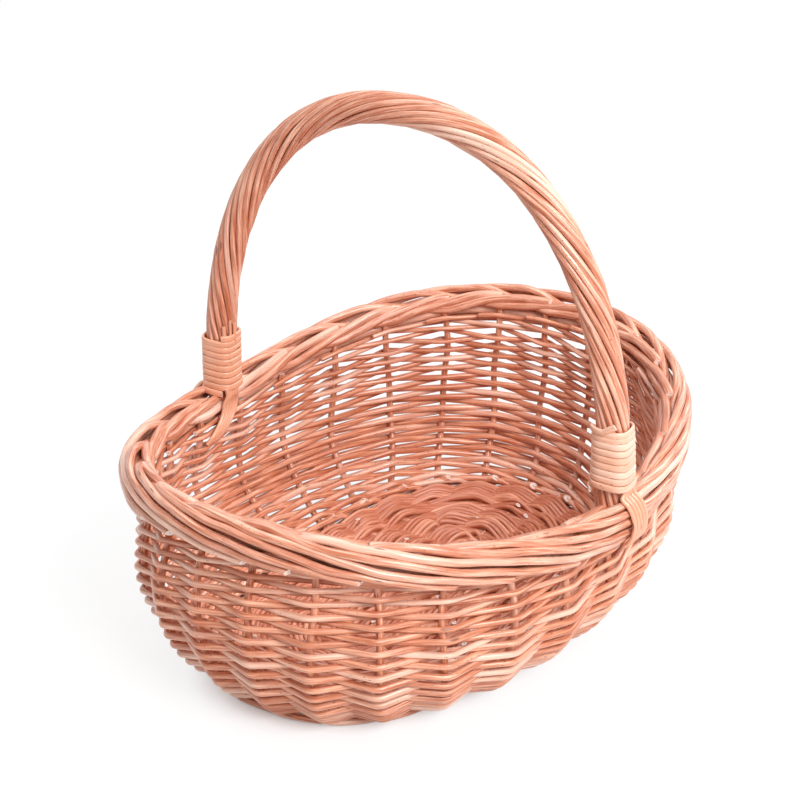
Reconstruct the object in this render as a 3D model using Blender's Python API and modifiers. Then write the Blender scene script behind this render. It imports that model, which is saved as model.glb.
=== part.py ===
"""Oval willow basket with a fixed bow handle, for picking mushrooms.

Metres, +Z up. The origin is on the ground under the middle of the basket, +X is the long way of the
oval and the handle spans it along Y. The base is a mat of two woven layers with sticks between them.
Stakes are pushed in beside the sticks, turn up and carry wavy courses of weaving, which pass outside
one stake and inside the next. The lowest course is one round, and the others are two rounds each. A
rolled border closes the rim, and a bow handle goes down through it, wrapped in rods, bound with skein
at its feet and tied over the border.
"""

import math

import bmesh
import bpy
from mathutils import Vector

# Overall oval, measured to the outer faces
RIM_HALF_LENGTH = 0.210
RIM_HALF_WIDTH = 0.1677
RIM_MEAN_HEIGHT = 0.1394
RIM_SHEER = 0.0143
END_FLARE = 0.0334
SIDE_FLARE = 0.0593
SIDE_BULGE = 0.0149
FLARE_POWER_SHARE = 0.4267
BASE_SQUARENESS_SHARE = 2.35
RIM_SQUARENESS_SHARE = 2.22
ANGLE_STEP_SHARE = 0.01

# Border
BORDER_WIDTH = 0.023
BORDER_HEIGHT = 0.0326
BORDER_FLUTE_DEPTH = 0.0016
BORDER_FLUTES = 6
BORDER_TURNS = 4
BORDER_STEPS = 12
BORDER_STEPS_PER_STAKE = 3
BORDER_OVERHANG = 0.0128

# Stakes and side weaving
STAKE_COUNT = 26
STAKE_DIAMETER = 0.0048
STAKE_CROWDING_SHARE = 0.13
STAKE_SHIFT_SHARE = -0.007
STAKE_FOOT_LENGTH = 0.016
STAKE_TOP_RISE = 0.0022
WEAVER_THICKNESS = 0.0036
COURSE_COUNT = 7
COURSE_GROWTH_SHARE = 1.35
COURSE_GAP = 0.0004
UPSETT_STEPS_PER_STAKE = 3
STEPS_PER_STAKE = 2
ROUNDS_PER_COURSE = 2

# Base
MAT_THICKNESS = 0.0035
MAT_POINTS = 52
MAT_RELIEF = 0.0024
MAT_ROWS = 8
MAT_END_COLUMNS = 4
MAT_TIP_SHARE = 0.995
LAYER_GAP = 0.0062
MAT_CLEARANCE = 0.001
CROSS_STICK_COUNT = 6
CROSS_STICK_DIAMETER = 0.0056
CROSS_STICK_SPACING = 0.031
LONG_STICK_COUNT = 3
LONG_STICK_DIAMETER = 0.0032
LONG_STICK_SPACING = 0.030
STICK_SIDES = 8

# Handle
LEG_INSET = 0.0045
HANDLE_OFFSET = -0.0077
HANDLE_CENTRE_HEIGHT = 0.345
HANDLE_SQUARENESS_SHARE = 2.184
HANDLE_CORE_RADIUS = 0.0048
HANDLE_ROD_RADIUS = 0.0026
HANDLE_ROD_COUNT = 8
HANDLE_ROD_PITCH = 0.22
HANDLE_ROD_CLEARANCE = 0.00045
HANDLE_STATIONS = 28
ARCH_STEPS = 240

# Bindings and ties
BINDING_RADIUS = 0.00145
BINDING_PITCH = 0.0036
BINDING_TURNS = 10
BINDING_POINTS = 16
BINDING_CLEARANCE = 0.0005
TIE_WIDTH = 0.015
TIE_THICKNESS = 0.0016
TIE_COLUMNS = 4
TIE_ROWS = 6

FIT_CLEARANCE = 0.0003
CUT_OVERRUN = 0.004

WALL_THICKNESS = STAKE_DIAMETER + 2 * (WEAVER_THICKNESS + COURSE_GAP)
STAKE_DEPTH = WALL_THICKNESS / 2
WAVE = STAKE_DEPTH - WEAVER_THICKNESS / 2
LAYER_MIDDLE = MAT_THICKNESS + LAYER_GAP / 2
STICK_END_INSET = STAKE_DEPTH + STAKE_FOOT_LENGTH + CROSS_STICK_DIAMETER / 2
WALL_TOP_HALF_LENGTH = RIM_HALF_LENGTH - BORDER_OVERHANG
WALL_TOP_HALF_WIDTH = RIM_HALF_WIDTH - BORDER_OVERHANG
BASE_HALF_LENGTH = WALL_TOP_HALF_LENGTH - END_FLARE
BASE_HALF_WIDTH = WALL_TOP_HALF_WIDTH - SIDE_FLARE
HANDLE_HALF_SPAN = RIM_HALF_WIDTH - BORDER_WIDTH / 2 - LEG_INSET
HANDLE_SPRING_HEIGHT = RIM_MEAN_HEIGHT
HANDLE_ROD_CIRCLE = HANDLE_CORE_RADIUS + HANDLE_ROD_CLEARANCE + HANDLE_ROD_RADIUS
HANDLE_RADIUS = HANDLE_ROD_CIRCLE + HANDLE_ROD_RADIUS

UP = Vector((0, 0, 1))
ALONG_LENGTH = Vector((1, 0, 0))
ACROSS_WIDTH = Vector((0, 1, 0))


def clear_scene():
    """Remove whatever the opened file holds."""
    for item in list(bpy.data.objects):
        bpy.data.objects.remove(item)


def new_collection(name):
    """A collection linked to the scene."""
    collection = bpy.data.collections.new(name)
    bpy.context.scene.collection.children.link(collection)
    return collection


def willow(name, colour, roughness):
    """A plain material for one kind of willow piece."""
    material = bpy.data.materials.new(name)
    material.use_nodes = True
    shader = material.node_tree.nodes["Principled BSDF"]
    shader.inputs["Base Color"].default_value = (*colour, 1)
    shader.inputs["Roughness"].default_value = roughness
    shader.inputs["Metallic"].default_value = 0
    material.diffuse_color = (*colour, 1)
    return material


def place(name, data, collection, material):
    """Link a named object that carries the given mesh or curve."""
    item = bpy.data.objects.new(name, data)
    item.data.materials.append(material)
    collection.objects.link(item)
    return item


def loft(name, sections, is_ring, collection, material):
    """Sections with the same number of corners, joined to a closed ring or to a strip with two ends."""
    shape = bmesh.new()
    loops = [[shape.verts.new(corner) for corner in section] for section in sections]
    pairs = list(zip(loops, loops[1:]))
    if is_ring:
        pairs.append((loops[-1], loops[0]))
    else:
        shape.faces.new(loops[0])
        shape.faces.new(loops[-1])
    for loop, following in pairs:
        for corner in range(len(loop)):
            beside = (corner + 1) % len(loop)
            shape.faces.new((loop[corner], following[corner], following[beside], loop[beside]))
    bmesh.ops.recalc_face_normals(shape, faces=shape.faces)
    mesh = bpy.data.meshes.new(name)
    shape.to_mesh(mesh)
    shape.free()
    return place(name, mesh, collection, material)


def rod(name, points, radius, resolution, collection, material):
    """A round rod along points, with closed ends."""
    curve = bpy.data.curves.new(name, "CURVE")
    curve.dimensions = "3D"
    curve.bevel_depth = radius
    curve.bevel_resolution = resolution
    curve.use_fill_caps = True
    spline = curve.splines.new("POLY")
    spline.points.add(len(points) - 1)
    for knot, point in zip(spline.points, points):
        knot.co = (*point, 1)
    return place(name, curve, collection, material)


def cut(item, cutter):
    """Subtract a cutter from a mesh object."""
    modifier = item.modifiers.new(cutter.name, "BOOLEAN")
    modifier.operation = "DIFFERENCE"
    modifier.object = cutter


def drill(name, centre, direction, radius, length, cutters):
    """A hidden round cutter."""
    bpy.ops.mesh.primitive_cylinder_add(vertices=STICK_SIDES, radius=radius, depth=length, location=centre)
    cutter = bpy.context.object
    cutter.name = name
    cutter.rotation_euler = direction.to_track_quat("Z", "Y").to_euler()
    cutter.hide_render = True
    cutter.display_type = "WIRE"
    for owner in list(cutter.users_collection):
        owner.objects.unlink(cutter)
    cutters.objects.link(cutter)
    return cutter


def oval_radius(angle, half_length, half_width, squareness):
    """Distance from the centre to a squarish oval, at a polar angle."""
    along = abs(math.cos(angle)) / half_length
    across = abs(math.sin(angle)) / half_width
    return (along ** squareness + across ** squareness) ** (-1 / squareness)


def wall_point(angle, share):
    """A point of the wall's outer face, from the base at share 0 to the border at share 1."""
    flare = share ** FLARE_POWER_SHARE
    bulge = SIDE_BULGE * math.sin(math.pi * share)
    half_length = BASE_HALF_LENGTH + (WALL_TOP_HALF_LENGTH - BASE_HALF_LENGTH) * flare + bulge
    half_width = BASE_HALF_WIDTH + (WALL_TOP_HALF_WIDTH - BASE_HALF_WIDTH) * flare + bulge
    squareness = BASE_SQUARENESS_SHARE + (RIM_SQUARENESS_SHARE - BASE_SQUARENESS_SHARE) * share
    reach = oval_radius(angle, half_length, half_width, squareness)
    height = RIM_MEAN_HEIGHT - BORDER_HEIGHT + RIM_SHEER * math.cos(2 * angle)
    return Vector((reach * math.cos(angle), reach * math.sin(angle), share * height))


def level_share(level):
    """Height share of the joint below a course: low courses are lower, because they lie flatter."""
    return (level / COURSE_COUNT) ** COURSE_GROWTH_SHARE


def course_normal(angle, course):
    """Outward direction of a course's face."""
    low, high = level_share(course), level_share(course + 1)
    middle = (low + high) / 2
    around = wall_point(angle + ANGLE_STEP_SHARE, middle) - wall_point(angle - ANGLE_STEP_SHARE, middle)
    upward = wall_point(angle, high) - wall_point(angle, low)
    return around.cross(upward).normalized()


def inside_point(angle, level, depth):
    """A point at a depth behind the outer face, where two courses meet."""
    below = course_normal(angle, max(level - 1, 0))
    above = course_normal(angle, min(level, COURSE_COUNT - 1))
    middle = (below + above).normalized()
    return wall_point(angle, level_share(level)) - middle * (depth / middle.dot(above))


def stake_angles():
    """Polar angles of the stakes, closer together at the long ends of the rim."""
    steps = ARCH_STEPS * BORDER_STEPS_PER_STAKE
    angles = [math.tau * step / steps for step in range(steps + 1)]
    rim = [wall_point(angle, 1) for angle in angles]
    lengths = [0.0]
    for start, end in zip(rim, rim[1:]):
        lengths.append(lengths[-1] + (end - start).to_2d().length)
    found = []
    for index in range(STAKE_COUNT):
        share = (index + 1 / 2) / STAKE_COUNT
        crowding = STAKE_CROWDING_SHARE / (2 * math.tau) * math.sin(2 * math.tau * share)
        target = (share - crowding + STAKE_SHIFT_SHARE) % 1 * lengths[-1]
        after = next(step for step, length in enumerate(lengths) if length > target)
        part = (target - lengths[after - 1]) / (lengths[after] - lengths[after - 1])
        found.append(angles[after - 1] + (angles[after] - angles[after - 1]) * part)
    return found


def ring_angles(stakes, steps_per_stake):
    """Polar angles of the stations round a ring, with equal steps from stake to stake."""
    angles = []
    for index, start in enumerate(stakes):
        end = stakes[(index + 1) % STAKE_COUNT]
        gap = (end - start) % math.tau
        angles += [start + gap * step / steps_per_stake for step in range(steps_per_stake)]
    return angles


def foot_direction(point):
    """Outward along the base's nearest sticks: lengthwise at the long ends, else crosswise."""
    if abs(point.x) / BASE_HALF_LENGTH > abs(point.y) / BASE_HALF_WIDTH:
        return ALONG_LENGTH * math.copysign(1, point.x)
    return ACROSS_WIDTH * math.copysign(1, point.y)


def make_stakes(stakes, collection, material):
    """Upright rods: a foot between the mat's layers, then up inside the wall to the border."""
    for index, angle in enumerate(stakes):
        points = [inside_point(angle, level, STAKE_DEPTH) for level in range(COURSE_COUNT + 1)]
        foot = points[0] - foot_direction(points[0]) * STAKE_FOOT_LENGTH
        foot.z = LAYER_MIDDLE
        rise = (points[-1] - points[-2]).normalized() * STAKE_TOP_RISE
        points = [foot, *points, points[-1] + rise]
        rod(f"stake_{index + 1:02d}", points, STAKE_DIAMETER / 2, 1, collection, material)


def between_levels(angle, level, depth):
    """A point at a depth behind the outer face, on the straight line between two whole levels."""
    low = min(math.floor(level), COURSE_COUNT - 1)
    return inside_point(angle, low, depth).lerp(inside_point(angle, low + 1, depth), level - low)


def woven_section(angle, level, height, swing):
    """Four corners of a woven strip, which swings out from the middle of the wall."""
    outer = STAKE_DEPTH - swing * WAVE - WEAVER_THICKNESS / 2
    inner = outer + WEAVER_THICKNESS
    low_outer, low_inner = (between_levels(angle, level, depth) for depth in (outer, inner))
    high_outer, high_inner = (between_levels(angle, level + height, depth) for depth in (outer, inner))
    inset = (high_outer - low_outer).normalized() * COURSE_GAP
    return [low_outer, high_outer - inset, high_inner - inset, low_inner]


def make_single_round(name, course, side, steps_per_stake, stakes, collection, material):
    """A wavy ring of weaving: side 1 starts outside the first stake, and side -1 inside it."""
    sections = []
    for step, angle in enumerate(ring_angles(stakes, steps_per_stake)):
        swing = side * math.cos(math.pi * step / steps_per_stake)
        sections.append(woven_section(angle, course, 1, swing))
    loft(name, sections, True, collection, material)


def make_course(name, course, stakes, collection, material):
    """A strip of side weaving that goes round twice, inside one stake and outside the next.

    Between the last stake and the first it steps up by a round and stays outside, so that its rounds
    pass each stake on opposite sides.
    """
    angles = ring_angles(stakes, STEPS_PER_STAKE)
    first_step_up = len(angles) - STEPS_PER_STAKE
    sections = []
    for step in range(first_step_up + (ROUNDS_PER_COURSE - 1) * len(angles) + 1):
        rounds = min(max((step - first_step_up) / STEPS_PER_STAKE, 0), 1)
        swing = -math.cos(math.pi * (step / STEPS_PER_STAKE - rounds))
        level = course + rounds / ROUNDS_PER_COURSE
        sections.append(woven_section(angles[step % len(angles)], level, 1 / ROUNDS_PER_COURSE, swing))
    loft(name, sections, False, collection, material)


def border_centre(angle):
    """Centre of the border's section and its outward direction in plan."""
    half_length = RIM_HALF_LENGTH - BORDER_WIDTH / 2
    half_width = RIM_HALF_WIDTH - BORDER_WIDTH / 2

    def plan(turned):
        reach = oval_radius(turned, half_length, half_width, RIM_SQUARENESS_SHARE)
        return Vector((reach * math.cos(turned), reach * math.sin(turned), 0))

    around = plan(angle + ANGLE_STEP_SHARE) - plan(angle - ANGLE_STEP_SHARE)
    height = RIM_MEAN_HEIGHT + RIM_SHEER * math.cos(2 * angle) - BORDER_HEIGHT / 2
    return plan(angle) + UP * height, around.cross(UP).normalized()


def border_point(angle, turn, lift):
    """A point round the border's section, lifted off its surface."""
    centre, outward = border_centre(angle)
    sideways = outward * (BORDER_WIDTH / 2 + lift) * math.cos(turn)
    return centre + sideways + UP * (BORDER_HEIGHT / 2 + lift) * math.sin(turn)


def make_border(stakes, collection, cutters, material):
    """The rolled border, with flutes that wind from inside over the top, and a hole for each leg."""
    angles = ring_angles(stakes, BORDER_STEPS_PER_STAKE)
    sections = []
    for step, angle in enumerate(angles):
        twist = math.tau * BORDER_TURNS * step / len(angles)
        section = []
        for corner in range(BORDER_STEPS):
            turn = math.tau * corner / BORDER_STEPS
            flute = (1 - math.cos(BORDER_FLUTES * turn)) / 2 * BORDER_FLUTE_DEPTH
            section.append(border_point(angle, turn - twist, -flute))
        sections.append(section)
    border = loft("border", sections, True, collection, material)
    radius = HANDLE_CORE_RADIUS + FIT_CLEARANCE
    for side in (-1, 1):
        centre = Vector((HANDLE_OFFSET, side * HANDLE_HALF_SPAN, RIM_MEAN_HEIGHT - BORDER_HEIGHT / 2))
        length = BORDER_HEIGHT + 2 * (RIM_SHEER + CUT_OVERRUN)
        cut(border, drill(f"leg_hole_{side}", centre, UP, radius, length, cutters))


def mat_half_sizes(depth):
    """Half length and half width of a mat, which stays clear of the upsett."""
    return inside_point(0, 0, depth).x - MAT_CLEARANCE, inside_point(math.pi / 2, 0, depth).y - MAT_CLEARANCE


def mat_outline(depth):
    """Points of a mat's edge."""
    half_length, half_width = mat_half_sizes(depth)
    points = []
    for step in range(MAT_POINTS):
        angle = math.tau * step / MAT_POINTS
        reach = oval_radius(angle, half_length, half_width, BASE_SQUARENESS_SHARE)
        points.append((reach * math.cos(angle), reach * math.sin(angle)))
    return points


def make_mat(name, outline, bottom, collection, material):
    """One woven layer of the base, as a flat oval plate."""
    curve = bpy.data.curves.new(name, "CURVE")
    curve.dimensions = "2D"
    curve.fill_mode = "BOTH"
    curve.extrude = MAT_THICKNESS / 2
    spline = curve.splines.new("POLY")
    spline.points.add(len(outline) - 1)
    for knot, (x, y) in zip(spline.points, outline):
        knot.co = (x, y, 0, 1)
    spline.use_cyclic_u = True
    mat = place(name, curve, collection, material)
    mat.location.z = bottom + MAT_THICKNESS / 2
    return mat


def mat_columns(half_length):
    """Places across the upper mat: over each cross stick, midway between them, and out to the ends."""
    middle = [CROSS_STICK_SPACING / 2 * step for step in range(CROSS_STICK_COUNT + 1)]
    run = half_length * MAT_TIP_SHARE - middle[-1]
    turns = [math.pi / 2 * (step + 1) / MAT_END_COLUMNS for step in range(MAT_END_COLUMNS)]
    outward = middle + [middle[-1] + run * math.sin(turn) for turn in turns]
    return [-place for place in reversed(outward[1:])] + outward


def make_upper_mat(name, bottom, collection, material):
    """The upper woven layer: it humps over the cross sticks, and over the long sticks at the ends."""
    half_length, half_width = mat_half_sizes(WALL_THICKNESS)
    columns = mat_columns(half_length)
    middle = len(columns) // 2
    shape = bmesh.new()
    top = []
    for column, x in enumerate(columns):
        half = chord(abs(x), half_length, half_width)
        from_middle = abs(column - middle)
        line = []
        for row in range(MAT_ROWS + 1):
            counted = from_middle if from_middle <= CROSS_STICK_COUNT else row + 1
            height = bottom + MAT_THICKNESS - MAT_RELIEF * (1 - counted % 2)
            line.append(shape.verts.new((x, half * (2 * row / MAT_ROWS - 1), height)))
        top.append(line)
    for line, following in zip(top, top[1:]):
        for row in range(MAT_ROWS):
            shape.faces.new((line[row], following[row], following[row + 1], line[row + 1]))
    rim = [line[0] for line in top] + top[-1][1:-1] + [line[-1] for line in reversed(top)] + top[0][-2:0:-1]
    floor = [shape.verts.new((corner.co.x, corner.co.y, bottom)) for corner in rim]
    for index, corner in enumerate(rim):
        beside = (index + 1) % len(rim)
        shape.faces.new((corner, floor[index], floor[beside], rim[beside]))
    shape.faces.new(floor)
    bmesh.ops.recalc_face_normals(shape, faces=shape.faces)
    mesh = bpy.data.meshes.new(name)
    shape.to_mesh(mesh)
    shape.free()
    place(name, mesh, collection, material)


def stick(name, centre, direction, length, diameter, collection, material):
    """A straight round stick of the base."""
    half = direction * length / 2
    curve_stick = rod(name, [centre - half, centre + half], diameter / 2, 2, collection, material)
    bpy.context.view_layer.update()
    graph = bpy.context.evaluated_depsgraph_get()
    mesh = bpy.data.meshes.new_from_object(curve_stick.evaluated_get(graph))
    shape = bmesh.new()
    shape.from_mesh(mesh)
    bmesh.ops.remove_doubles(shape, verts=shape.verts, dist=FIT_CLEARANCE / 10)
    shape.to_mesh(mesh)
    shape.free()
    matrix = curve_stick.matrix_world.copy()
    bpy.data.objects.remove(curve_stick)
    solid = bpy.data.objects.new(name, mesh)
    solid.matrix_world = matrix
    collection.objects.link(solid)
    return solid


def chord(offset, across, along):
    """Half the length of the base's chord at an offset from its middle line."""
    share = 1 - (offset / across) ** BASE_SQUARENESS_SHARE
    return along * share ** (1 / BASE_SQUARENESS_SHARE)


def make_sticks(collection, cutters, material):
    """Cross sticks with holes, and the long sticks that run through them."""
    places = [(index - (LONG_STICK_COUNT - 1) / 2) * LONG_STICK_SPACING for index in range(LONG_STICK_COUNT)]
    radius = LONG_STICK_DIAMETER / 2 + FIT_CLEARANCE
    reach = 2 * BASE_HALF_LENGTH
    holes = []
    for index, y in enumerate(places):
        centre = Vector((0, y, LAYER_MIDDLE))
        half = chord(abs(y), BASE_HALF_WIDTH, BASE_HALF_LENGTH) - STICK_END_INSET
        name = f"long_stick_{index + 1}"
        stick(name, centre, ALONG_LENGTH, 2 * half, LONG_STICK_DIAMETER, collection, material)
        holes.append(drill(f"stick_hole_{index + 1}", centre, ALONG_LENGTH, radius, reach, cutters))
    for index in range(CROSS_STICK_COUNT):
        x = (index - (CROSS_STICK_COUNT - 1) / 2) * CROSS_STICK_SPACING
        half = chord(abs(x), BASE_HALF_LENGTH, BASE_HALF_WIDTH) - STICK_END_INSET
        centre = Vector((x, 0, LAYER_MIDDLE))
        name = f"cross_stick_{index + 1}"
        solid = stick(name, centre, ACROSS_WIDTH, 2 * half, CROSS_STICK_DIAMETER, collection, material)
        for hole in holes:
            cut(solid, hole)


def arch_line(lowest):
    """Closely spaced points of the bow's centre line, from one foot over the top to the other."""
    rise = HANDLE_CENTRE_HEIGHT - HANDLE_SPRING_HEIGHT
    power = 2 / HANDLE_SQUARENESS_SHARE
    points = [Vector((HANDLE_OFFSET, HANDLE_HALF_SPAN, lowest))]
    for step in range(ARCH_STEPS + 1):
        angle = math.pi * step / ARCH_STEPS
        sideways = math.copysign(abs(math.cos(angle)) ** power, math.cos(angle)) * HANDLE_HALF_SPAN
        height = HANDLE_SPRING_HEIGHT + rise * math.sin(angle) ** power
        points.append(Vector((HANDLE_OFFSET, sideways, height)))
    points.append(Vector((HANDLE_OFFSET, -HANDLE_HALF_SPAN, lowest)))
    return points


def walk(points, distance):
    """The point and the direction at a distance along a line of points."""
    for start, end in zip(points, points[1:]):
        length = (end - start).length
        if distance <= length:
            break
        distance -= length
    direction = (end - start).normalized()
    return start + direction * distance, direction


def line_length(points):
    """Length of a line of points."""
    return sum((end - start).length for start, end in zip(points, points[1:]))


def around_line(line, distance, turn, radius):
    """A point beside the bow's centre line, turned round it."""
    centre, direction = walk(line, distance)
    outward = direction.cross(ALONG_LENGTH)
    return centre + (ALONG_LENGTH * math.cos(turn) + outward * math.sin(turn)) * radius


def foot_height():
    """Height of the border's top where the handle stands on it."""
    angle = math.atan2(HANDLE_HALF_SPAN, HANDLE_OFFSET)
    return border_centre(angle)[0].z + BORDER_HEIGHT / 2


def make_handle(collection, core_material, rod_material):
    """The bow with its legs, and the rods laid round it from border to border."""
    line = arch_line(foot_height() + FIT_CLEARANCE)
    total = line_length(line)
    distances = [total * step / (HANDLE_STATIONS - 1) for step in range(HANDLE_STATIONS)]
    wall_top = wall_point(math.pi / 2, 1).z
    leg_end = wall_top + STAKE_TOP_RISE + FIT_CLEARANCE
    core = [walk(line, distance)[0] for distance in distances]
    legs = [Vector((HANDLE_OFFSET, side * HANDLE_HALF_SPAN, leg_end)) for side in (1, -1)]
    points = [legs[0], *core, legs[1]]
    rod("handle_core", points, HANDLE_CORE_RADIUS, 2, collection, core_material)
    for index in range(HANDLE_ROD_COUNT):
        start = math.tau * index / HANDLE_ROD_COUNT
        points = []
        for distance in distances:
            turn = start - math.tau * distance / HANDLE_ROD_PITCH
            points.append(around_line(line, distance, turn, HANDLE_ROD_CIRCLE))
        rod(f"handle_rod_{index + 1}", points, HANDLE_ROD_RADIUS, 1, collection, rod_material)


def winding(line, from_end):
    """Points of one binding round the handle's foot, with straight ends."""
    total = line_length(line)
    circle = HANDLE_RADIUS + BINDING_CLEARANCE + BINDING_RADIUS
    points = []
    for step in range(BINDING_TURNS * BINDING_POINTS + 1):
        turns = step / BINDING_POINTS
        distance = BINDING_RADIUS + turns * BINDING_PITCH
        if from_end:
            distance = total - distance
        points.append(around_line(line, distance, math.tau * turns + math.pi / 2, circle))
    first = (points[0] - points[1]).normalized() * 2 * BINDING_RADIUS
    last = (points[-1] - points[-2]).normalized() * 2 * BINDING_RADIUS
    return [points[0] + first, *points, points[-1] + last]


def least_gap(points):
    """Least clear distance between a winding's turns, over 0.4 mm by design."""
    least = math.inf
    apart = BINDING_POINTS // 2
    for index, point in enumerate(points):
        for other in points[index + apart:]:
            least = min(least, (other - point).length)
    return least - 2 * BINDING_RADIUS


def make_bindings(collection, material):
    """Skein wound round each foot of the handle, one unbroken length each."""
    line = arch_line(foot_height() + FIT_CLEARANCE)
    for name, from_end in (("binding_left", False), ("binding_right", True)):
        points = winding(line, from_end)
        rod(name, points, BINDING_RADIUS, 1, collection, material)
        print(name, "least gap between turns in mm:", round(least_gap(points) * 1000, 2))


def make_tie(name, side, turns, collection, material):
    """A strap of skeins over one face of the border, from under the binding to the border's lower edge."""
    leg_angle = math.atan2(side * HANDLE_HALF_SPAN, HANDLE_OFFSET)
    lift = FIT_CLEARANCE + TIE_THICKNESS / 2
    spread = TIE_WIDTH / RIM_HALF_WIDTH
    top = foot_height() + FIT_CLEARANCE - TIE_THICKNESS / 2
    start, end = turns
    facing = math.copysign(1, math.cos(end))
    shape = bmesh.new()
    rows = []
    for row in range(TIE_ROWS):
        turn = start + (end - start) * row / (TIE_ROWS - 1)
        angles = [leg_angle + spread * (column / (TIE_COLUMNS - 1) - 1 / 2) for column in range(TIE_COLUMNS)]
        rows.append([border_point(angle, turn, lift) for angle in angles])
    beside = HANDLE_HALF_SPAN + facing * (HANDLE_RADIUS + lift)
    rows.insert(0, [Vector((point.x, side * beside, top)) for point in rows[0]])
    grid = [[shape.verts.new(point) for point in row] for row in rows]
    for low, high in zip(grid, grid[1:]):
        for column in range(TIE_COLUMNS - 1):
            shape.faces.new((low[column], low[column + 1], high[column + 1], high[column]))
    bmesh.ops.recalc_face_normals(shape, faces=shape.faces)
    mesh = bpy.data.meshes.new(name)
    shape.to_mesh(mesh)
    shape.free()
    tie = place(name, mesh, collection, material)
    thickness = tie.modifiers.new("thickness", "SOLIDIFY")
    thickness.thickness = TIE_THICKNESS
    thickness.offset = 0


def make_ties(collection, material):
    """An outer and an inner strap at each foot of the handle."""
    outer = (math.radians(46), math.radians(-56))
    inner = (math.radians(172), math.radians(216))
    for side, place_name in ((1, "left"), (-1, "right")):
        make_tie(f"tie_{place_name}_outer", side, outer, collection, material)
        make_tie(f"tie_{place_name}_inner", side, inner, collection, material)


def main():
    """Build the whole basket."""
    clear_scene()
    basket = new_collection("mushroom_basket")
    cutters = new_collection("cutters")
    buff = willow("buff_willow", (0.62, 0.33, 0.20), 0.45)
    dark = willow("stout_willow", (0.50, 0.25, 0.14), 0.5)
    skein = willow("split_skein", (0.70, 0.40, 0.25), 0.4)
    stakes = stake_angles()
    make_sticks(basket, cutters, dark)
    make_mat("base_mat_lower", mat_outline(WEAVER_THICKNESS), 0, basket, buff)
    make_upper_mat("base_mat_upper", MAT_THICKNESS + LAYER_GAP, basket, buff)
    make_stakes(stakes, basket, dark)
    make_single_round("upsett", 0, -1, UPSETT_STEPS_PER_STAKE, stakes, basket, dark)
    make_single_round("side_course_1", 1, 1, STEPS_PER_STAKE, stakes, basket, buff)
    for course in range(2, COURSE_COUNT):
        make_course(f"side_course_{course}", course, stakes, basket, buff)
    make_border(stakes, basket, cutters, buff)
    make_handle(basket, dark, buff)
    make_bindings(basket, skein)
    make_ties(basket, skein)


main()
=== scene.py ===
"""A woven willow foraging basket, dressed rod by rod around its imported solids."""
import math

import bpy
import numpy as np
from bpy.props import FloatProperty, FloatVectorProperty, IntProperty, PointerProperty
from mathutils import Matrix, Vector


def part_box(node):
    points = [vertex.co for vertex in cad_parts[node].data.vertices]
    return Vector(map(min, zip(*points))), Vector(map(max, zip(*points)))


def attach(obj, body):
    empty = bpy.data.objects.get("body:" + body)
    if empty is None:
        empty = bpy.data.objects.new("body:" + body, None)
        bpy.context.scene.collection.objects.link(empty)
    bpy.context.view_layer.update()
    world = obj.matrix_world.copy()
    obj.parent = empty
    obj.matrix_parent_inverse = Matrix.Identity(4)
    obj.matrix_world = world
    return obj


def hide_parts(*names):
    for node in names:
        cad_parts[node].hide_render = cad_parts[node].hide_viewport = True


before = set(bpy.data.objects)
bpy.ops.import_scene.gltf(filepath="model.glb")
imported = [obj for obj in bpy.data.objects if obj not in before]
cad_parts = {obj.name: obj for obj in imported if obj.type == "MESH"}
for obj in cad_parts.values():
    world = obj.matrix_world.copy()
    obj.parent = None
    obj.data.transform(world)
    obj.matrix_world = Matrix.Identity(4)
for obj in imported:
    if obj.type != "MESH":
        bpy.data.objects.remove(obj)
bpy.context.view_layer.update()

UP = np.array((0.0, 0.0, 1.0))
ALONG = np.array((1.0, 0.0, 0.0))
# angle between two faces from which the edge between them is sharp
CAP_ANGLE = math.radians(50)
# waves of a wander, as shares of its wavelength and of its height
WANDER_PARTS = (1.0, 0.61, 0.37)

bl_info = {
    "name": "Willow foraging basket",
    "version": (1, 0, 0),
    "blender": (4, 5, 0),
    "location": "View3D > Sidebar > Basket",
    "description": "Weaves an oval willow basket with a rolled border and a bow handle",
    "category": "Object",
}


def length(name, description, default):
    """A length that a user can change."""
    return FloatProperty(name=name, description=description, default=default, unit="LENGTH",
                         subtype="DISTANCE", precision=4)


def colour(name, description, default):
    """A colour that a user can change."""
    return FloatVectorProperty(name=name, description=description, default=default, size=3,
                               min=0.0, max=1.0, subtype="COLOR")


def share(name, description, default):
    """A plain number without a unit."""
    return FloatProperty(name=name, description=description, default=default)


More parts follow.
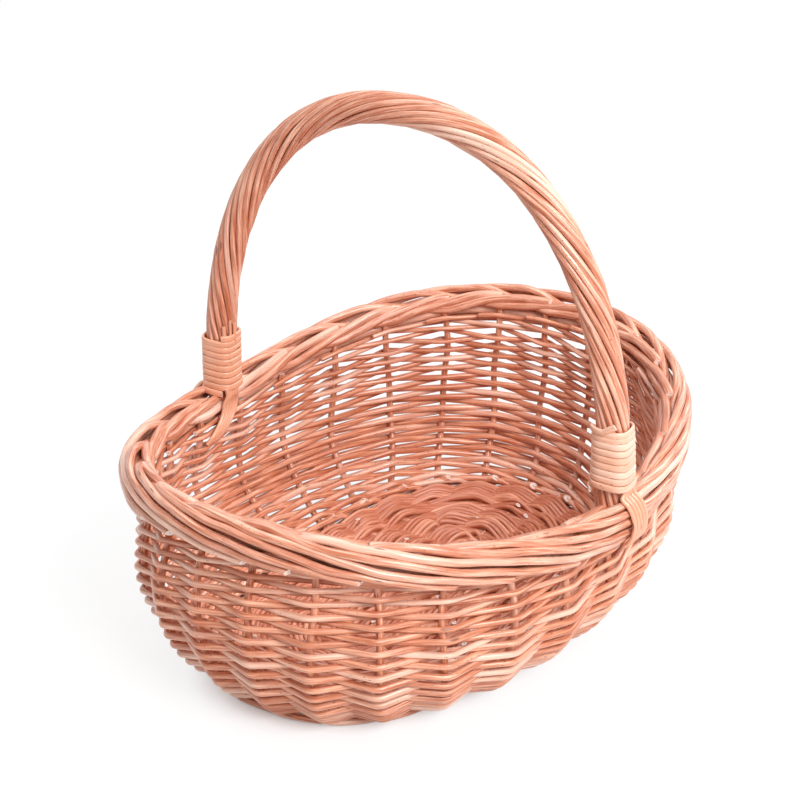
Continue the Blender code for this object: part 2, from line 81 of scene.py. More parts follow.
class BasketShape(bpy.types.PropertyGroup):
    """The sizes of the whole basket."""
    rim_half_length: length("Rim half length", "From the middle to the border's outside, the long way", 0.210)
    rim_half_width: length("Rim half width", "From the middle to the border's outside, the short way", 0.1677)
    rim_height: length("Rim height", "Mean height of the border's top", 0.1394)
    rim_sheer: length("Rim sheer", "Rise of the border at the ends and fall at the sides", 0.0143)
    rim_squareness: share("Rim squareness", "2 is an ellipse, more is squarer", 2.22)
    base_squareness: share("Base squareness", "2 is an ellipse, more is squarer", 2.35)
    end_flare: length("End flare", "How far the wall leans out at the ends", 0.0334)
    side_flare: length("Side flare", "How far the wall leans out at the sides", 0.0593)
    side_bulge: length("Side bulge", "Roundness of the wall between base and border", 0.0149)
    flare_power: share("Flare power", "How early the wall leans out", 0.4267)
    border_width: length("Border width", "Thickness of the rolled border", 0.023)
    border_height: length("Border height", "Height of the rolled border", 0.0326)
    border_overhang: length("Border overhang", "How far the border stands out over the wall", 0.0128)
    leg_inset: length("Leg inset", "From the middle of the border in to the handle's leg", 0.0045)
    leg_lean: length("Leg lean", "How far the rods round a leg stand in from its core", 0.0014)
    handle_offset: length("Handle offset", "Where the handle stands, the long way", -0.0077)
    handle_height: length("Handle height", "Height of the bow's middle line at its top", 0.345)
    handle_squareness: share("Handle squareness", "2 is an ellipse, more is squarer", 2.184)
    base_middle: length("Base middle", "Height of the sticks inside the base", 0.0066)


class RodSizes(bpy.types.PropertyGroup):
    """How thick the willow is and how it is set out."""
    stake_count: IntProperty(name="Stakes", description="Upright stakes round the oval", default=26)
    stake_diameter: length("Stake diameter", "Thickness of an upright stake", 0.0048)
    stake_crowding: share("Stake crowding", "How much closer the stakes stand at the ends", 0.13)
    stake_shift: share("Stake shift", "Where the first stake stands, as a share of the rim", -0.007)
    stake_depth: length("Stake depth", "From the wall's outer face in to the stakes' middle", 0.0064)
    row_count: IntProperty(name="Rows", description="Rows of the side weaving", default=33)
    row_start: length("Row start", "From the base's edge up to the first row", 0.0080)
    row_end: length("Row end", "From the last row up to the wall's top, negative inside the border",
                    -0.0135)
    row_growth: share("Row growth", "Pitch of the first row over that of the last", 1.22)
    butt_diameter: length("Butt diameter", "Thick end of a weaving rod", 0.0050)
    tip_diameter: length("Tip diameter", "Thin end of a weaving rod", 0.0035)
    wale_diameter: length("Wale diameter", "Rods of the upsett", 0.0044)
    wale_middle: length("Wale middle", "From the base's edge up to the upsett", 0.0058)
    border_rod_diameter: length("Border rod diameter", "Thick end of a rod of the rolled border", 0.0062)
    base_rod_diameter: length("Base rod diameter", "Thin rods of the base", 0.0034)
    base_rod_pitch: length("Base rod pitch", "From one round of the base to the next", 0.0037)
    strand_count: IntProperty(name="Handle strands", description="Rods laid round the handle's core",
                              default=13)
    strand_diameter: length("Strand diameter", "Rods laid round the handle's core", 0.0040)
    strand_radius: length("Strand radius", "From the handle's middle to its rods' middle", 0.0084)
    strand_pitch: length("Strand pitch", "Length of one whole turn of the handle's rods", 0.220)
    strand_foot: length("Strand foot", "How far the handle's rods reach down into the border", 0.012)
    skein_thickness: length("Skein thickness", "Thickness of a split skein", 0.0020)
    skein_turns: IntProperty(name="Skein turns", description="Turns of skein in each binding", default=9)
    binding_radius: length("Binding radius", "From the handle's middle to the skein's middle", 0.0111)
    binding_squareness: share("Binding squareness", "2 is round, more is squarer", 3.3)
    left_binding_foot: length("Left binding foot", "From the border's top up to the left binding", -0.0053)
    left_binding_height: length("Left binding height", "From the left binding's foot to its top", 0.0465)
    right_binding_foot: length("Right binding foot", "From the border's top up to the right binding", 0.0024)
    right_binding_height: length("Right binding height", "From the right binding's foot to its top", 0.0455)
    right_binding_flare: length("Right binding flare", "How much wider its foot is than its top", 0.0014)
    tie_skeins: IntProperty(name="Tie skeins", description="Skeins side by side in each tie", default=5)
    tie_width: length("Tie width", "Width of a tie over the border", 0.0192)


class WillowColours(bpy.types.PropertyGroup):
    """Colours of peeled and boiled willow."""
    pale: colour("Pale willow", "Lightest streaks of a rod", (0.935, 0.665, 0.533))
    middle: colour("Buff willow", "Main colour of a rod", (0.865, 0.413, 0.258))
    deep: colour("Deep willow", "Darkest streaks of a rod", (0.46, 0.115, 0.043))
    mark: colour("Mark", "Specks, scars and buds", (0.13, 0.045, 0.022))
    cut_wood: colour("Cut wood", "Sawn and clipped ends", (0.82, 0.68, 0.61))
    pith: colour("Pith", "Middle of a cut end", (0.42, 0.23, 0.16))
    skein: colour("Skein", "Split and shaved willow", (0.665, 0.325, 0.200))
    # Painted light: paler than the middle willow of the stakes the border is rolled from, for the light that
    # falls on the border and the handle at the basket's top.
    border: colour("Border willow", "Rods of the border and the handle", (0.885, 0.463, 0.318))
    # Painted shade: darker and redder than the wall's willow, for the shade that falls on the floor deep
    # inside the basket.
    base: colour("Base willow", "Thin rods of the base", (0.645, 0.248, 0.158))


class StudioSetting(bpy.types.PropertyGroup):
    """Camera, floor and lamps."""
    azimuth: FloatProperty(name="Azimuth", description="Where the camera stands, round the basket",
                           default=math.radians(-57.42), subtype="ANGLE")
    elevation: FloatProperty(name="Elevation", description="How far above the basket the camera stands",
                             default=math.radians(24.97), subtype="ANGLE")
    distance: length("Distance", "From the camera to the point it turns about", 1.428)
    aim_height: length("Aim height", "Height of the point that the camera turns about", 0.150)
    lens: FloatProperty(name="Lens", description="Focal length on a 36 mm sensor", default=98.91)
    shift_x: share("Shift across", "Camera shift across, in frame widths", -0.01725)
    shift_y: share("Shift up", "Camera shift up, in frame widths", -0.0050)
    floor_size: length("Floor size", "Side of the square floor", 14.0)
    floor_shade: colour("Floor shade", "Colour that the floor throws on the basket", (0.78, 0.77, 0.76))
    floor_glow: share("Floor glow", "How much of the floor's white the camera sees even in shadow", 0.84)
    sky_strength: share("Sky strength", "Even light from all sides", 0.43)
    key_power: FloatProperty(name="Key power", description="Lamp over the front", default=78.0)
    top_power: FloatProperty(name="Top power", description="Lamp over the basket", default=20.0)
    fill_power: FloatProperty(name="Fill power", description="Lamp low on the right", default=18.0)


def oval_reach(angle, half_length, half_width, squareness):
    """Distance from the middle of a rounded oval to its edge, by angle."""
    along = (np.abs(np.cos(angle)) / half_length) ** squareness
    across = (np.abs(np.sin(angle)) / half_width) ** squareness
    return (along + across) ** (-1 / squareness)


def unit(vectors):
    """Vectors of length one."""
    return vectors / np.maximum(np.linalg.norm(vectors, axis=-1, keepdims=True), 1e-12)


def wander(seed, places, wavelength):
    """A slow, repeatable wander between about -1 and 1 along a line of places."""
    dice = np.random.default_rng(seed)
    places = np.asarray(places, dtype=float)
    total = np.zeros_like(places)
    for part in WANDER_PARTS:
        total += part * np.sin(math.tau * (places / (wavelength * part) + dice.random()))
    return total / sum(WANDER_PARTS)


def uneven(size, seed, places, wavelength, amount=0.03):
    """A half thickness that varies a little along a rod."""
    return size * (1 + amount * wander(seed, places, wavelength))


def smooth_line(corners, steps):
    """A smooth curve through corners, with even steps between them."""
    corners = np.asarray(corners, float)
    padded = np.concatenate([2 * corners[:1] - corners[1:2], corners, 2 * corners[-1:] - corners[-2:-1]])
    mix = np.linspace(0, 1, steps, endpoint=False)[:, None]
    line = []
    for index in range(len(corners) - 1):
        before, here, there, after = padded[index:index + 4]
        third = 3 * here - 3 * there + after - before
        second = 2 * before - 5 * here + 4 * there - after
        line.append(here + mix / 2 * (there - before + mix * (second + mix * third)))
    line.append(corners[-1:])
    return np.concatenate(line)


class Wall:
    """The wall's surface: a place on it by angle round the oval, climb up its profile and depth inwards."""

    # steps of the table round the oval and up the profile
    ANGLES = 241
    CLIMBS = 161
    # how much closer together the profile is measured at its foot
    FOOT_CROWDING = 2.4
    # height gained for each length climbed above the wall's top
    STRAIGHT = 1.16
    # step in angle and in climb over which a slope is measured
    SLOPE_STEP = 0.004

    def __init__(self, shape):
        self.shape = shape
        self.top_length = shape.rim_half_length - shape.border_overhang
        self.top_width = shape.rim_half_width - shape.border_overhang
        self.base_length = self.top_length - shape.end_flare
        self.base_width = self.top_width - shape.side_flare
        self.grid_angles = np.linspace(0, math.tau, self.ANGLES)
        shares = np.linspace(0, 1, 4 * self.CLIMBS) ** self.FOOT_CROWDING
        points = self.face(self.grid_angles[:, None], shares[None, :])
        steps = np.linalg.norm(np.diff(points, axis=1), axis=2)
        lengths = np.concatenate([np.zeros((self.ANGLES, 1)), np.cumsum(steps, axis=1)], axis=1)
        self.profile = lengths[:, -1]
        self.grid_climbs = np.linspace(0, 1, self.CLIMBS)
        self.table = np.array([np.interp(self.grid_climbs, row / row[-1], shares) for row in lengths])

    def face(self, angle, height_share):
        """A point of the outer face."""
        shape = self.shape
        height_share = np.maximum(height_share, 0)
        below = np.minimum(height_share, 1)
        flare = below ** shape.flare_power
        bulge = shape.side_bulge * np.sin(math.pi * below)
        half_length = self.base_length + shape.end_flare * flare + bulge
        half_width = self.base_width + shape.side_flare * flare + bulge
        squareness = shape.base_squareness + (shape.rim_squareness - shape.base_squareness) * below
        reach = oval_reach(angle, half_length, half_width, squareness)
        height = shape.rim_height - shape.border_height + shape.rim_sheer * np.cos(2 * angle)
        return np.stack(np.broadcast_arrays(reach * np.cos(angle), reach * np.sin(angle),
                                            height_share * height), axis=-1)

    def height_share(self, angle, climb):
        """Share of the height at a share of the profile's length."""
        across = np.mod(angle, math.tau) / math.tau * (self.ANGLES - 1)
        low = np.clip(across.astype(int), 0, self.ANGLES - 2)
        mix = across - low
        up = np.clip(climb, 0, 1) * (self.CLIMBS - 1)
        under = np.clip(up.astype(int), 0, self.CLIMBS - 2)
        rise = up - under
        table = self.table
        left = table[low, under] * (1 - rise) + table[low, under + 1] * rise
        right = table[low + 1, under] * (1 - rise) + table[low + 1, under + 1] * rise
        return left * (1 - mix) + right * mix + np.maximum(climb - 1, 0) * self.STRAIGHT

    def length_at(self, angle):
        """Length of the profile at an angle."""
        return np.interp(np.mod(angle, math.tau), self.grid_angles, self.profile)

    def at(self, angle, climb, depth):
        """Points in the wall, with the outward normals there."""
        angle, climb, depth = np.broadcast_arrays(np.asarray(angle, float), np.asarray(climb, float),
                                                  np.asarray(depth, float))
        step = self.SLOPE_STEP
        point = self.face(angle, self.height_share(angle, climb))
        around = self.face(angle + step, self.height_share(angle + step, climb)) - point
        lower = self.face(angle, self.height_share(angle, np.maximum(climb - step, 0)))
        upper = self.face(angle, self.height_share(angle, np.maximum(climb + step, 2 * step)))
        normal = unit(np.cross(around, upper - lower))
        return point - normal * depth[..., None], normal


class Setting:
    """What every piece needs: the sizes, the wall, the stakes' angles and the rows' climbs."""

    def __init__(self, scene):
        self.shape = scene.basket_shape
        self.rods = scene.basket_rods
        self.wall = Wall(self.shape)
        self.count = self.rods.stake_count
        self.stakes = self.stake_angles()
        self.knots = np.concatenate([[self.stakes[-1] - math.tau], self.stakes, [self.stakes[0] + math.tau]])
        weights = np.linspace(self.rods.row_growth, 1, self.rods.row_count - 1)
        self.row_shares = np.concatenate([[0], np.cumsum(weights)]) / weights.sum()

    def stake_angles(self):
        """Angles of the stakes, set out along the rim and closer together at its ends."""
        shape = self.shape
        angles = np.linspace(0, math.tau, 2001)
        reach = oval_reach(angles, shape.rim_half_length, shape.rim_half_width, shape.rim_squareness)
        steps = np.hypot(np.diff(reach * np.cos(angles)), np.diff(reach * np.sin(angles)))
        lengths = np.concatenate([[0], np.cumsum(steps)])
        places = (np.arange(self.count) + 0.5) / self.count
        crowding = self.rods.stake_crowding / (2 * math.tau) * np.sin(2 * math.tau * places)
        places = np.mod(places - crowding + self.rods.stake_shift, 1)
        return np.interp(places, lengths / lengths[-1], angles)

    def angle(self, station):
        """Angle at a number of stakes round the oval, whole at a stake."""
        station = np.asarray(station, float)
        turns = np.floor(station / self.count)
        places = np.arange(self.count + 1)
        angles = np.append(self.stakes, self.stakes[0] + math.tau)
        return np.interp(station - turns * self.count, places, angles) + turns * math.tau

    def climb(self, angle, row):
        """Share of the profile at a row, whole numbers lying on the stakes."""
        rods = self.rods
        places = np.interp(row, np.arange(rods.row_count), self.row_shares)
        places = places + np.minimum(row, 0) * self.row_shares[1]
        whole = self.wall.length_at(angle)
        run = whole - rods.row_start - rods.row_end
        return (rods.row_start + places * run) / whole

    def border_centre(self, angle):
        """Middle of the border's section, with the outward direction there."""
        shape = self.shape
        inset = shape.border_width / 2

        def plan(turned):
            reach = oval_reach(turned, shape.rim_half_length - inset, shape.rim_half_width - inset,
                               shape.rim_squareness)
            height = shape.rim_height + shape.rim_sheer * np.cos(2 * turned) - shape.border_height / 2
            return np.stack([reach * np.cos(turned), reach * np.sin(turned), height], axis=-1)

        step = 0.002
        around = unit(plan(angle + step) - plan(angle - step))
        return plan(angle), unit(np.cross(around, UP))

    def in_border(self, angle, turn, half_out, half_up):
        """Points on an ellipse round the border's middle, with the directions away from it."""
        centre, outward = self.border_centre(angle)
        across = np.cos(turn)[..., None] * outward
        upward = np.sin(turn)[..., None] * UP
        point = centre + across * np.asarray(half_out)[..., None] + upward * np.asarray(half_up)[..., None]
        away = unit(across * np.asarray(half_up)[..., None] + upward * np.asarray(half_out)[..., None])
        return point, away


def rounded_line(corners, normals, corner, steps=5, straight=2):
    """A line through corners, straight between them and rounded over each, with its normals."""
    ahead = np.roll(corners, -1, axis=0)
    behind = np.roll(corners, 1, axis=0)
    push = (corners - (ahead + behind) / 2) * corner / 2 / (1 - corner)
    push[[0, -1]] = 0
    bent = corners + push
    line = [bent[0]]
    facing = [normals[0]]
    mixes = np.linspace(corner, 1 - corner, straight + 2)[1:-1]
    rounds = np.linspace(0, 1, steps)[:, None]
    for index in range(len(bent) - 1):
        here, there = bent[index], bent[index + 1]
        for mix in mixes:
            line.append(here + (there - here) * mix)
            facing.append(normals[index] + (normals[index + 1] - normals[index]) * mix)
        if index + 2 < len(bent):
            start = there + (here - there) * corner
            end = there + (bent[index + 2] - there) * corner
            line.extend(start * (1 - rounds) ** 2 + there * 2 * rounds * (1 - rounds) + end * rounds ** 2)
            facing.extend([normals[index + 1]] * steps)
    line.append(bent[-1])
    facing.append(normals[-1])
    return np.array(line), np.array(facing)


def zigzag(station, corner):
    """1 at even stations and -1 at odd ones, straight between them and rounded over each."""
    swing = np.mod(station, 2.0)
    flip = np.where((swing > 0.5) & (swing < 1.5), -1.0, 1.0)
    off = np.abs(swing - np.round(swing))
    top = 1 / (1 - corner)
    rounded = top * (1 - corner - off ** 2 / corner)
    return flip * np.where(off < corner, rounded, top * (1 - 2 * off))


class Rods:
    """Collects tubes for one piece and turns them into one mesh."""

    # metres of grain among which the start of each tube's grain is drawn
    GRAIN_LENGTH = 5

    def __init__(self, seed):
        self.points = []
        self.faces = []
        self.grain = []
        self.tone = []
        self.cut = []
        self.count = 0
        self.dice = np.random.default_rng(seed)

    def varied(self, spread):
        """A factor near 1 that differs from rod to rod."""
        return 1 + spread * (self.dice.random() - 0.5)

    def tube(self, line, reference, half_out, half_side=None, sides=10, fullness=2.0, slants=(0.0, 0.0),
             tone=None):
        """One rod along a line, with closed ends.

        The section is an oval, and squarer the more its fullness is above 2. Its first half width lies
        along the reference, and its second, the same if it isn't given, across it. Slants lean the ends.
        """
        half_side = half_out if half_side is None else half_side
        line = np.asarray(line, float)
        rings = len(line)
        reference = np.broadcast_to(reference, line.shape)
        half_out = np.broadcast_to(half_out, (rings,)).astype(float)
        half_side = np.broadcast_to(half_side, (rings,)).astype(float)
        tangent = unit(np.gradient(line, axis=0))
        out = unit(reference - tangent * np.sum(reference * tangent, axis=1, keepdims=True))
        side = np.cross(tangent, out)
        around = math.tau * (np.arange(sides) + 0.5) / sides
        power = 2 / fullness
        first = np.sign(np.cos(around)) * np.abs(np.cos(around)) ** power
        second = np.sign(np.sin(around)) * np.abs(np.sin(around)) ** power
        outs = half_out[:, None] * first[None, :]
        sideways = half_side[:, None] * second[None, :]
        skin = line[:, None, :] + out[:, None, :] * outs[..., None] + side[:, None, :] * sideways[..., None]
        for end, slant in ((0, slants[0]), (-1, slants[1])):
            skin[end] += tangent[end] * (slant * outs[end])[:, None]
        steps = np.linalg.norm(np.diff(line, axis=0), axis=1)
        along = np.concatenate([[0], np.cumsum(steps)]) + self.dice.random() * self.GRAIN_LENGTH
        across = np.stack([np.repeat(along[:, None], sides, axis=1), outs, sideways], axis=-1)
        tone = self.dice.random() if tone is None else tone
        base = self.count
        self.points.append(skin.reshape(-1, 3))
        self.grain.append(across.reshape(-1, 3))
        self.tone.append(np.full(rings * sides, tone))
        ring = np.arange(sides)
        after = np.roll(ring, -1)
        lows = base + sides * np.arange(rings - 1)[:, None]
        quads = np.stack([lows + ring, lows + after, lows + sides + after, lows + sides + ring], axis=-1)
        self.faces.extend(quads.reshape(-1, 4).tolist())
        self.cut.extend([0.0] * (sides * (rings - 1)))
        self.count += rings * sides
        for end, flip in ((0, True), (rings - 1, False)):
            self.points.append(skin[end].mean(axis=0)[None, :])
            self.grain.append(np.array([[along[end], 0.0, 0.0]]))
            self.tone.append(np.array([tone]))
            hub = self.count
            self.count += 1
            start = base + end * sides
            for one, two in zip(ring, after):
                pair = (start + two, start + one) if flip else (start + one, start + two)
                self.faces.append([int(pair[0]), int(pair[1]), hub])
                self.cut.append(1.0)

    def piece(self, name, material, replaced):
        """One object of all the tubes, riding on the basket."""
        mesh = bpy.data.meshes.new(name)
        mesh.from_pydata(np.concatenate(self.points).tolist(), [], self.faces)
        grain = mesh.attributes.new("grain", "FLOAT_VECTOR", "POINT")
        grain.data.foreach_set("vector", np.concatenate(self.grain).astype(np.float32).ravel())
        tone = mesh.attributes.new("tone", "FLOAT", "POINT")
        tone.data.foreach_set("value", np.concatenate(self.tone).astype(np.float32))
        cut = mesh.attributes.new("cut", "FLOAT", "FACE")
        cut.data.foreach_set("value", np.array(self.cut, dtype=np.float32))
        mesh.shade_smooth()
        mesh.set_sharp_from_angle(angle=CAP_ANGLE)
        mesh.materials.append(material)
        item = bpy.data.objects.new(name, mesh)
        bpy.context.scene.collection.objects.link(item)
        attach(item, "root")
        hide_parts(*replaced)
        return item


class Recipe:
    """The node tree of a material or of the sky, built step by step."""

    def __init__(self, owner):
        owner.use_nodes = True
        self.nodes = owner.node_tree.nodes
        self.links = owner.node_tree.links
        self.nodes.clear()

    def node(self, kind, inputs=None, **settings):
        """A node with its settings, and its inputs as values or other nodes' sockets."""
        made = self.nodes.new(kind)
        for key, value in settings.items():
            setattr(made, key, value)
        for key, value in (inputs or {}).items():
            if isinstance(value, bpy.types.NodeSocket):
                self.links.new(value, made.inputs[key])
            else:
                made.inputs[key].default_value = value
        return made

    def maths(self, operation, first, second=0.0, third=0.0):
        """What two or three values make."""
        return self.node("ShaderNodeMath", {0: first, 1: second, 2: third}, operation=operation).outputs[0]

    def between(self, value, low, high, to_low=0.0, to_high=1.0):
        """A value taken from one range to another, smoothly and within it."""
        return self.node("ShaderNodeMapRange", {"Value": value, "From Min": low, "From Max": high,
                                                "To Min": to_low, "To Max": to_high},
                         interpolation_type="SMOOTHSTEP").outputs[0]

    def mixed(self, amount, first, second):
        """Two colours mixed."""
        made = self.nodes.new("ShaderNodeMix")
        made.data_type = "RGBA"
        for socket, value in ((made.inputs[0], amount), (made.inputs[6], first), (made.inputs[7], second)):
            if isinstance(value, bpy.types.NodeSocket):
                self.links.new(value, socket)
            elif isinstance(value, (int, float)):
                socket.default_value = value
            else:
                socket.default_value = (*value, 1.0)
        return made.outputs[2]

    def noise(self, place, scale, detail=3.0, roughness=0.55):
        """Noise at a place, between 0 and 1."""
        return self.node("ShaderNodeTexNoise", {"Vector": place, "Scale": scale, "Detail": detail,
                                                "Roughness": roughness}).outputs["Fac"]

    def stretched(self, place, stretch):
        """A place multiplied axis by axis."""
        return self.node("ShaderNodeVectorMath", {0: place, 1: stretch}, operation="MULTIPLY").outputs[0]

    def length_of(self, place):
        """How far a place is from the origin."""
        return self.node("ShaderNodeVectorMath", {0: place}, operation="LENGTH").outputs["Value"]

    def spots(self, place, stretch, scale, core, edge):
        """Scattered round spots, 1 up to their core and 0 from their edge on."""
        cells = self.node("ShaderNodeTexVoronoi", {"Vector": self.stretched(place, stretch), "Scale": scale})
        return self.between(cells.outputs["Distance"], core, edge, 1.0, 0.0)

    def sees_white(self):
        """1 for rays that see the white background, and 0 for those that bring light to the basket."""
        path = self.node("ShaderNodeLightPath").outputs
        seen = self.maths("MAXIMUM", path["Is Camera Ray"], path["Is Transmission Ray"])
        return self.maths("MAXIMUM", seen, path["Is Glossy Ray"])


# Repeats of the grain's patterns in a metre: along a rod, out from its middle and across it.
FIBRES = (45, 900, 900)
PATCHES = (9, 60, 60)
SPECKS = (420, 900, 900)
BUDS = (28, 150, 150)
# The same on a kept solid: along its run and across it.
KEPT_FIBRES = (60, 700)
KEPT_PATCHES = (12, 90)
KEPT_SPECKS = (600, 600)
KEPT_TONE = 0.4
KEPT_ROUGHNESS = 0.46
# Distances from the middle of a cut end between which the pith fades out, and the rind begins.
PITH_EDGE = (0.0003, 0.0006)
RIND_EDGE = (0.0016, 0.0022)
BUMP_HEIGHT = 0.0004
WILLOW_IOR = 1.52
COAT_WEIGHT = 0.34
COAT_ROUGHNESS = 0.22

# For each kind of willow: its material, its main, dark and light colours, and its roughness.
FINISHES = {
    "buff": ("buff_willow_finish", "middle", "deep", "pale", 0.32),
    "stout": ("stout_willow_finish", "middle", "deep", "pale", 0.36),
    # the border kind paints light on the top of the basket: a paler main colour than the stakes' willow
    "border": ("border_willow_finish", "border", "deep", "pale", 0.30),
    # the base kind paints shade on the basket's floor: the darker base colour, with only the middle colour as
    # its light streaks
    "base": ("base_willow_finish", "base", "deep", "middle", 0.40),
    "skein": ("split_skein_finish", "skein", "middle", "pale", 0.27),
}


def named_material(name):
    """The material of that name, made if it isn't there yet."""
    return bpy.data.materials.get(name) or bpy.data.materials.new(name)


def streaked(recipe, streak, patch, tone, main, deep, pale):
    """A rod's colour: fine streaks, and a shade that changes slowly along it and from rod to rod."""
    body = recipe.mixed(recipe.between(streak, 0.30, 0.70), deep, main)
    body = recipe.mixed(recipe.between(streak, 0.52, 0.80, 0.0, 0.55), body, pale)
    shade = recipe.maths("MULTIPLY_ADD", patch, 1.3, -0.65)
    shade = recipe.maths("ADD", shade, recipe.maths("MULTIPLY_ADD", tone, 0.62, -0.31))
    body = recipe.mixed(recipe.between(shade, 0.0, 0.55, 0.0, 0.75), body, pale)
    return recipe.mixed(recipe.between(shade, -0.55, 0.0, 0.62, 0.0), body, deep)


def cut_end(recipe, place, main, colours):
    """Colour of a cut end: pith in the middle, then pale wood, and the rod's own colour at the rind."""
    parts = recipe.node("ShaderNodeSeparateXYZ", {0: place})
    flat = recipe.node("ShaderNodeCombineXYZ", {1: parts.outputs[1], 2: parts.outputs[2]}).outputs[0]
    out = recipe.length_of(flat)
    end = recipe.mixed(recipe.between(out, *PITH_EDGE, 0.8, 0.0), colours.cut_wood, colours.pith)
    return recipe.mixed(recipe.between(out, *RIND_EDGE, 0.0, 0.5), end, main)


def kept_pattern(run, pattern):
    """Repeats of a pattern along each axis of a solid, whose run is 1 along its own axis."""
    along, across = pattern
    return tuple(along if axis else across for axis in run)


def willow_material(name, colours, main, deep, pale, roughness, run=None):
    """Peeled willow: streaks along the rod, slow changes of tone, specks, buds and pale cut ends.

    The rods made here carry their grain with them. A kept solid doesn't, and its run takes its place.
    """
    material = named_material(name)
    recipe = Recipe(material)
    if run is None:
        place = recipe.node("ShaderNodeAttribute", attribute_name="grain").outputs["Vector"]
        tone = recipe.node("ShaderNodeAttribute", attribute_name="tone").outputs["Fac"]
        fibres, patches, specks = FIBRES, PATCHES, SPECKS
    else:
        place = recipe.node("ShaderNodeTexCoord").outputs["Object"]
        tone = KEPT_TONE
        fibres = kept_pattern(run, KEPT_FIBRES)
        patches = kept_pattern(run, KEPT_PATCHES)
        specks = kept_pattern(run, KEPT_SPECKS)
    streak = recipe.noise(recipe.stretched(place, fibres), 1.0, 4.0, 0.6)
    patch = recipe.noise(recipe.stretched(place, patches), 1.0, 2.0, 0.5)
    body = streaked(recipe, streak, patch, tone, main, deep, pale)
    speckled = recipe.between(recipe.noise(recipe.stretched(place, patches), 3.1, 1.0), 0.50, 0.66)
    speck = recipe.maths("MULTIPLY", recipe.spots(place, specks, 0.55, 0.10, 0.24), speckled)
    body = recipe.mixed(recipe.maths("MULTIPLY", speck, 0.7), body, colours.mark)
    bud = recipe.spots(place, BUDS, 1.0, 0.05, 0.13)
    body = recipe.mixed(recipe.maths("MULTIPLY", bud, 0.75), body, colours.mark)
    if run is None:
        cut = recipe.node("ShaderNodeAttribute", attribute_name="cut").outputs["Fac"]
        body = recipe.mixed(cut, body, cut_end(recipe, place, main, colours))
    height = recipe.maths("MULTIPLY", streak, 0.7)
    height = recipe.maths("ADD", height, recipe.maths("MULTIPLY", patch, 0.5))
    height = recipe.maths("ADD", height, recipe.maths("MULTIPLY", bud, 0.9))
    bump = recipe.node("ShaderNodeBump", {"Strength": 0.45, "Distance": BUMP_HEIGHT, "Height": height})
    rough = recipe.between(streak, 0.25, 0.75, roughness + 0.09, roughness - 0.07)
    shader = recipe.node("ShaderNodeBsdfPrincipled", {
        "Base Color": body, "Roughness": rough, "Normal": bump.outputs[0], "IOR": WILLOW_IOR,
        "Coat Weight": COAT_WEIGHT, "Coat Roughness": COAT_ROUGHNESS})
    recipe.node("ShaderNodeOutputMaterial", {"Surface": shader.outputs[0]})
    return material


def willow(scene, kind):
    """The finished willow for one kind of rod."""
    name, main, deep, pale, roughness = FINISHES[kind]
    colours = scene.basket_colours
    return willow_material(name, colours, getattr(colours, main), getattr(colours, deep),
                           getattr(colours, pale), roughness)


class BASKET_OT_stakes(bpy.types.Operator):
    """Set the upright stakes round the base and up into the border"""
    bl_idname = "basket.stakes"
    bl_label = "Stakes"

    # length inside the border, and places along the part above the foot
    INTO_BORDER = 0.017
    PLACES = 46
    # how far in from the wall the foot begins and ends, and places along it
    FOOT_REACH = (0.016, 0.002)
    FOOT_PLACES = 6
    # how far a stake wanders along the wall
    LEAN = 0.0010

    def execute(self, context):
        setting = Setting(context.scene)
        rods = setting.rods
        material = willow(context.scene, "stout")
        for index in range(setting.count):
            angle = setting.stakes[index]
            whole = setting.wall.length_at(angle)
            climbs = np.linspace(0.0, 1.0 + self.INTO_BORDER / whole, self.PLACES)
            draw = Rods(100 + index)
            lean = wander(100 + index, climbs, 1.4) * self.LEAN / whole
            line, normal = setting.wall.at(angle + lean * 3, climbs, rods.stake_depth)
            inward = unit((line[0] - line[1]) * np.array((1, 1, 0)))
            foot = [line[0] + inward * step for step in np.linspace(*self.FOOT_REACH, self.FOOT_PLACES)]
            line = np.concatenate([foot, line])
            normal = np.concatenate([np.repeat(-UP[None, :], self.FOOT_PLACES, axis=0), normal])
            half = rods.stake_diameter / 2 * (1.04 - 0.10 * np.linspace(0, 1, len(line)))
            half = uneven(half, index + 7, np.linspace(0, 1, len(line)), 0.5)
            draw.tube(line, normal, half, sides=10, tone=0.25 + 0.5 * draw.dice.random())
            draw.piece(f"stake_rod_{index + 1:02d}", material, [f"stake_{index + 1:02d}"])
        return {"FINISHED"}


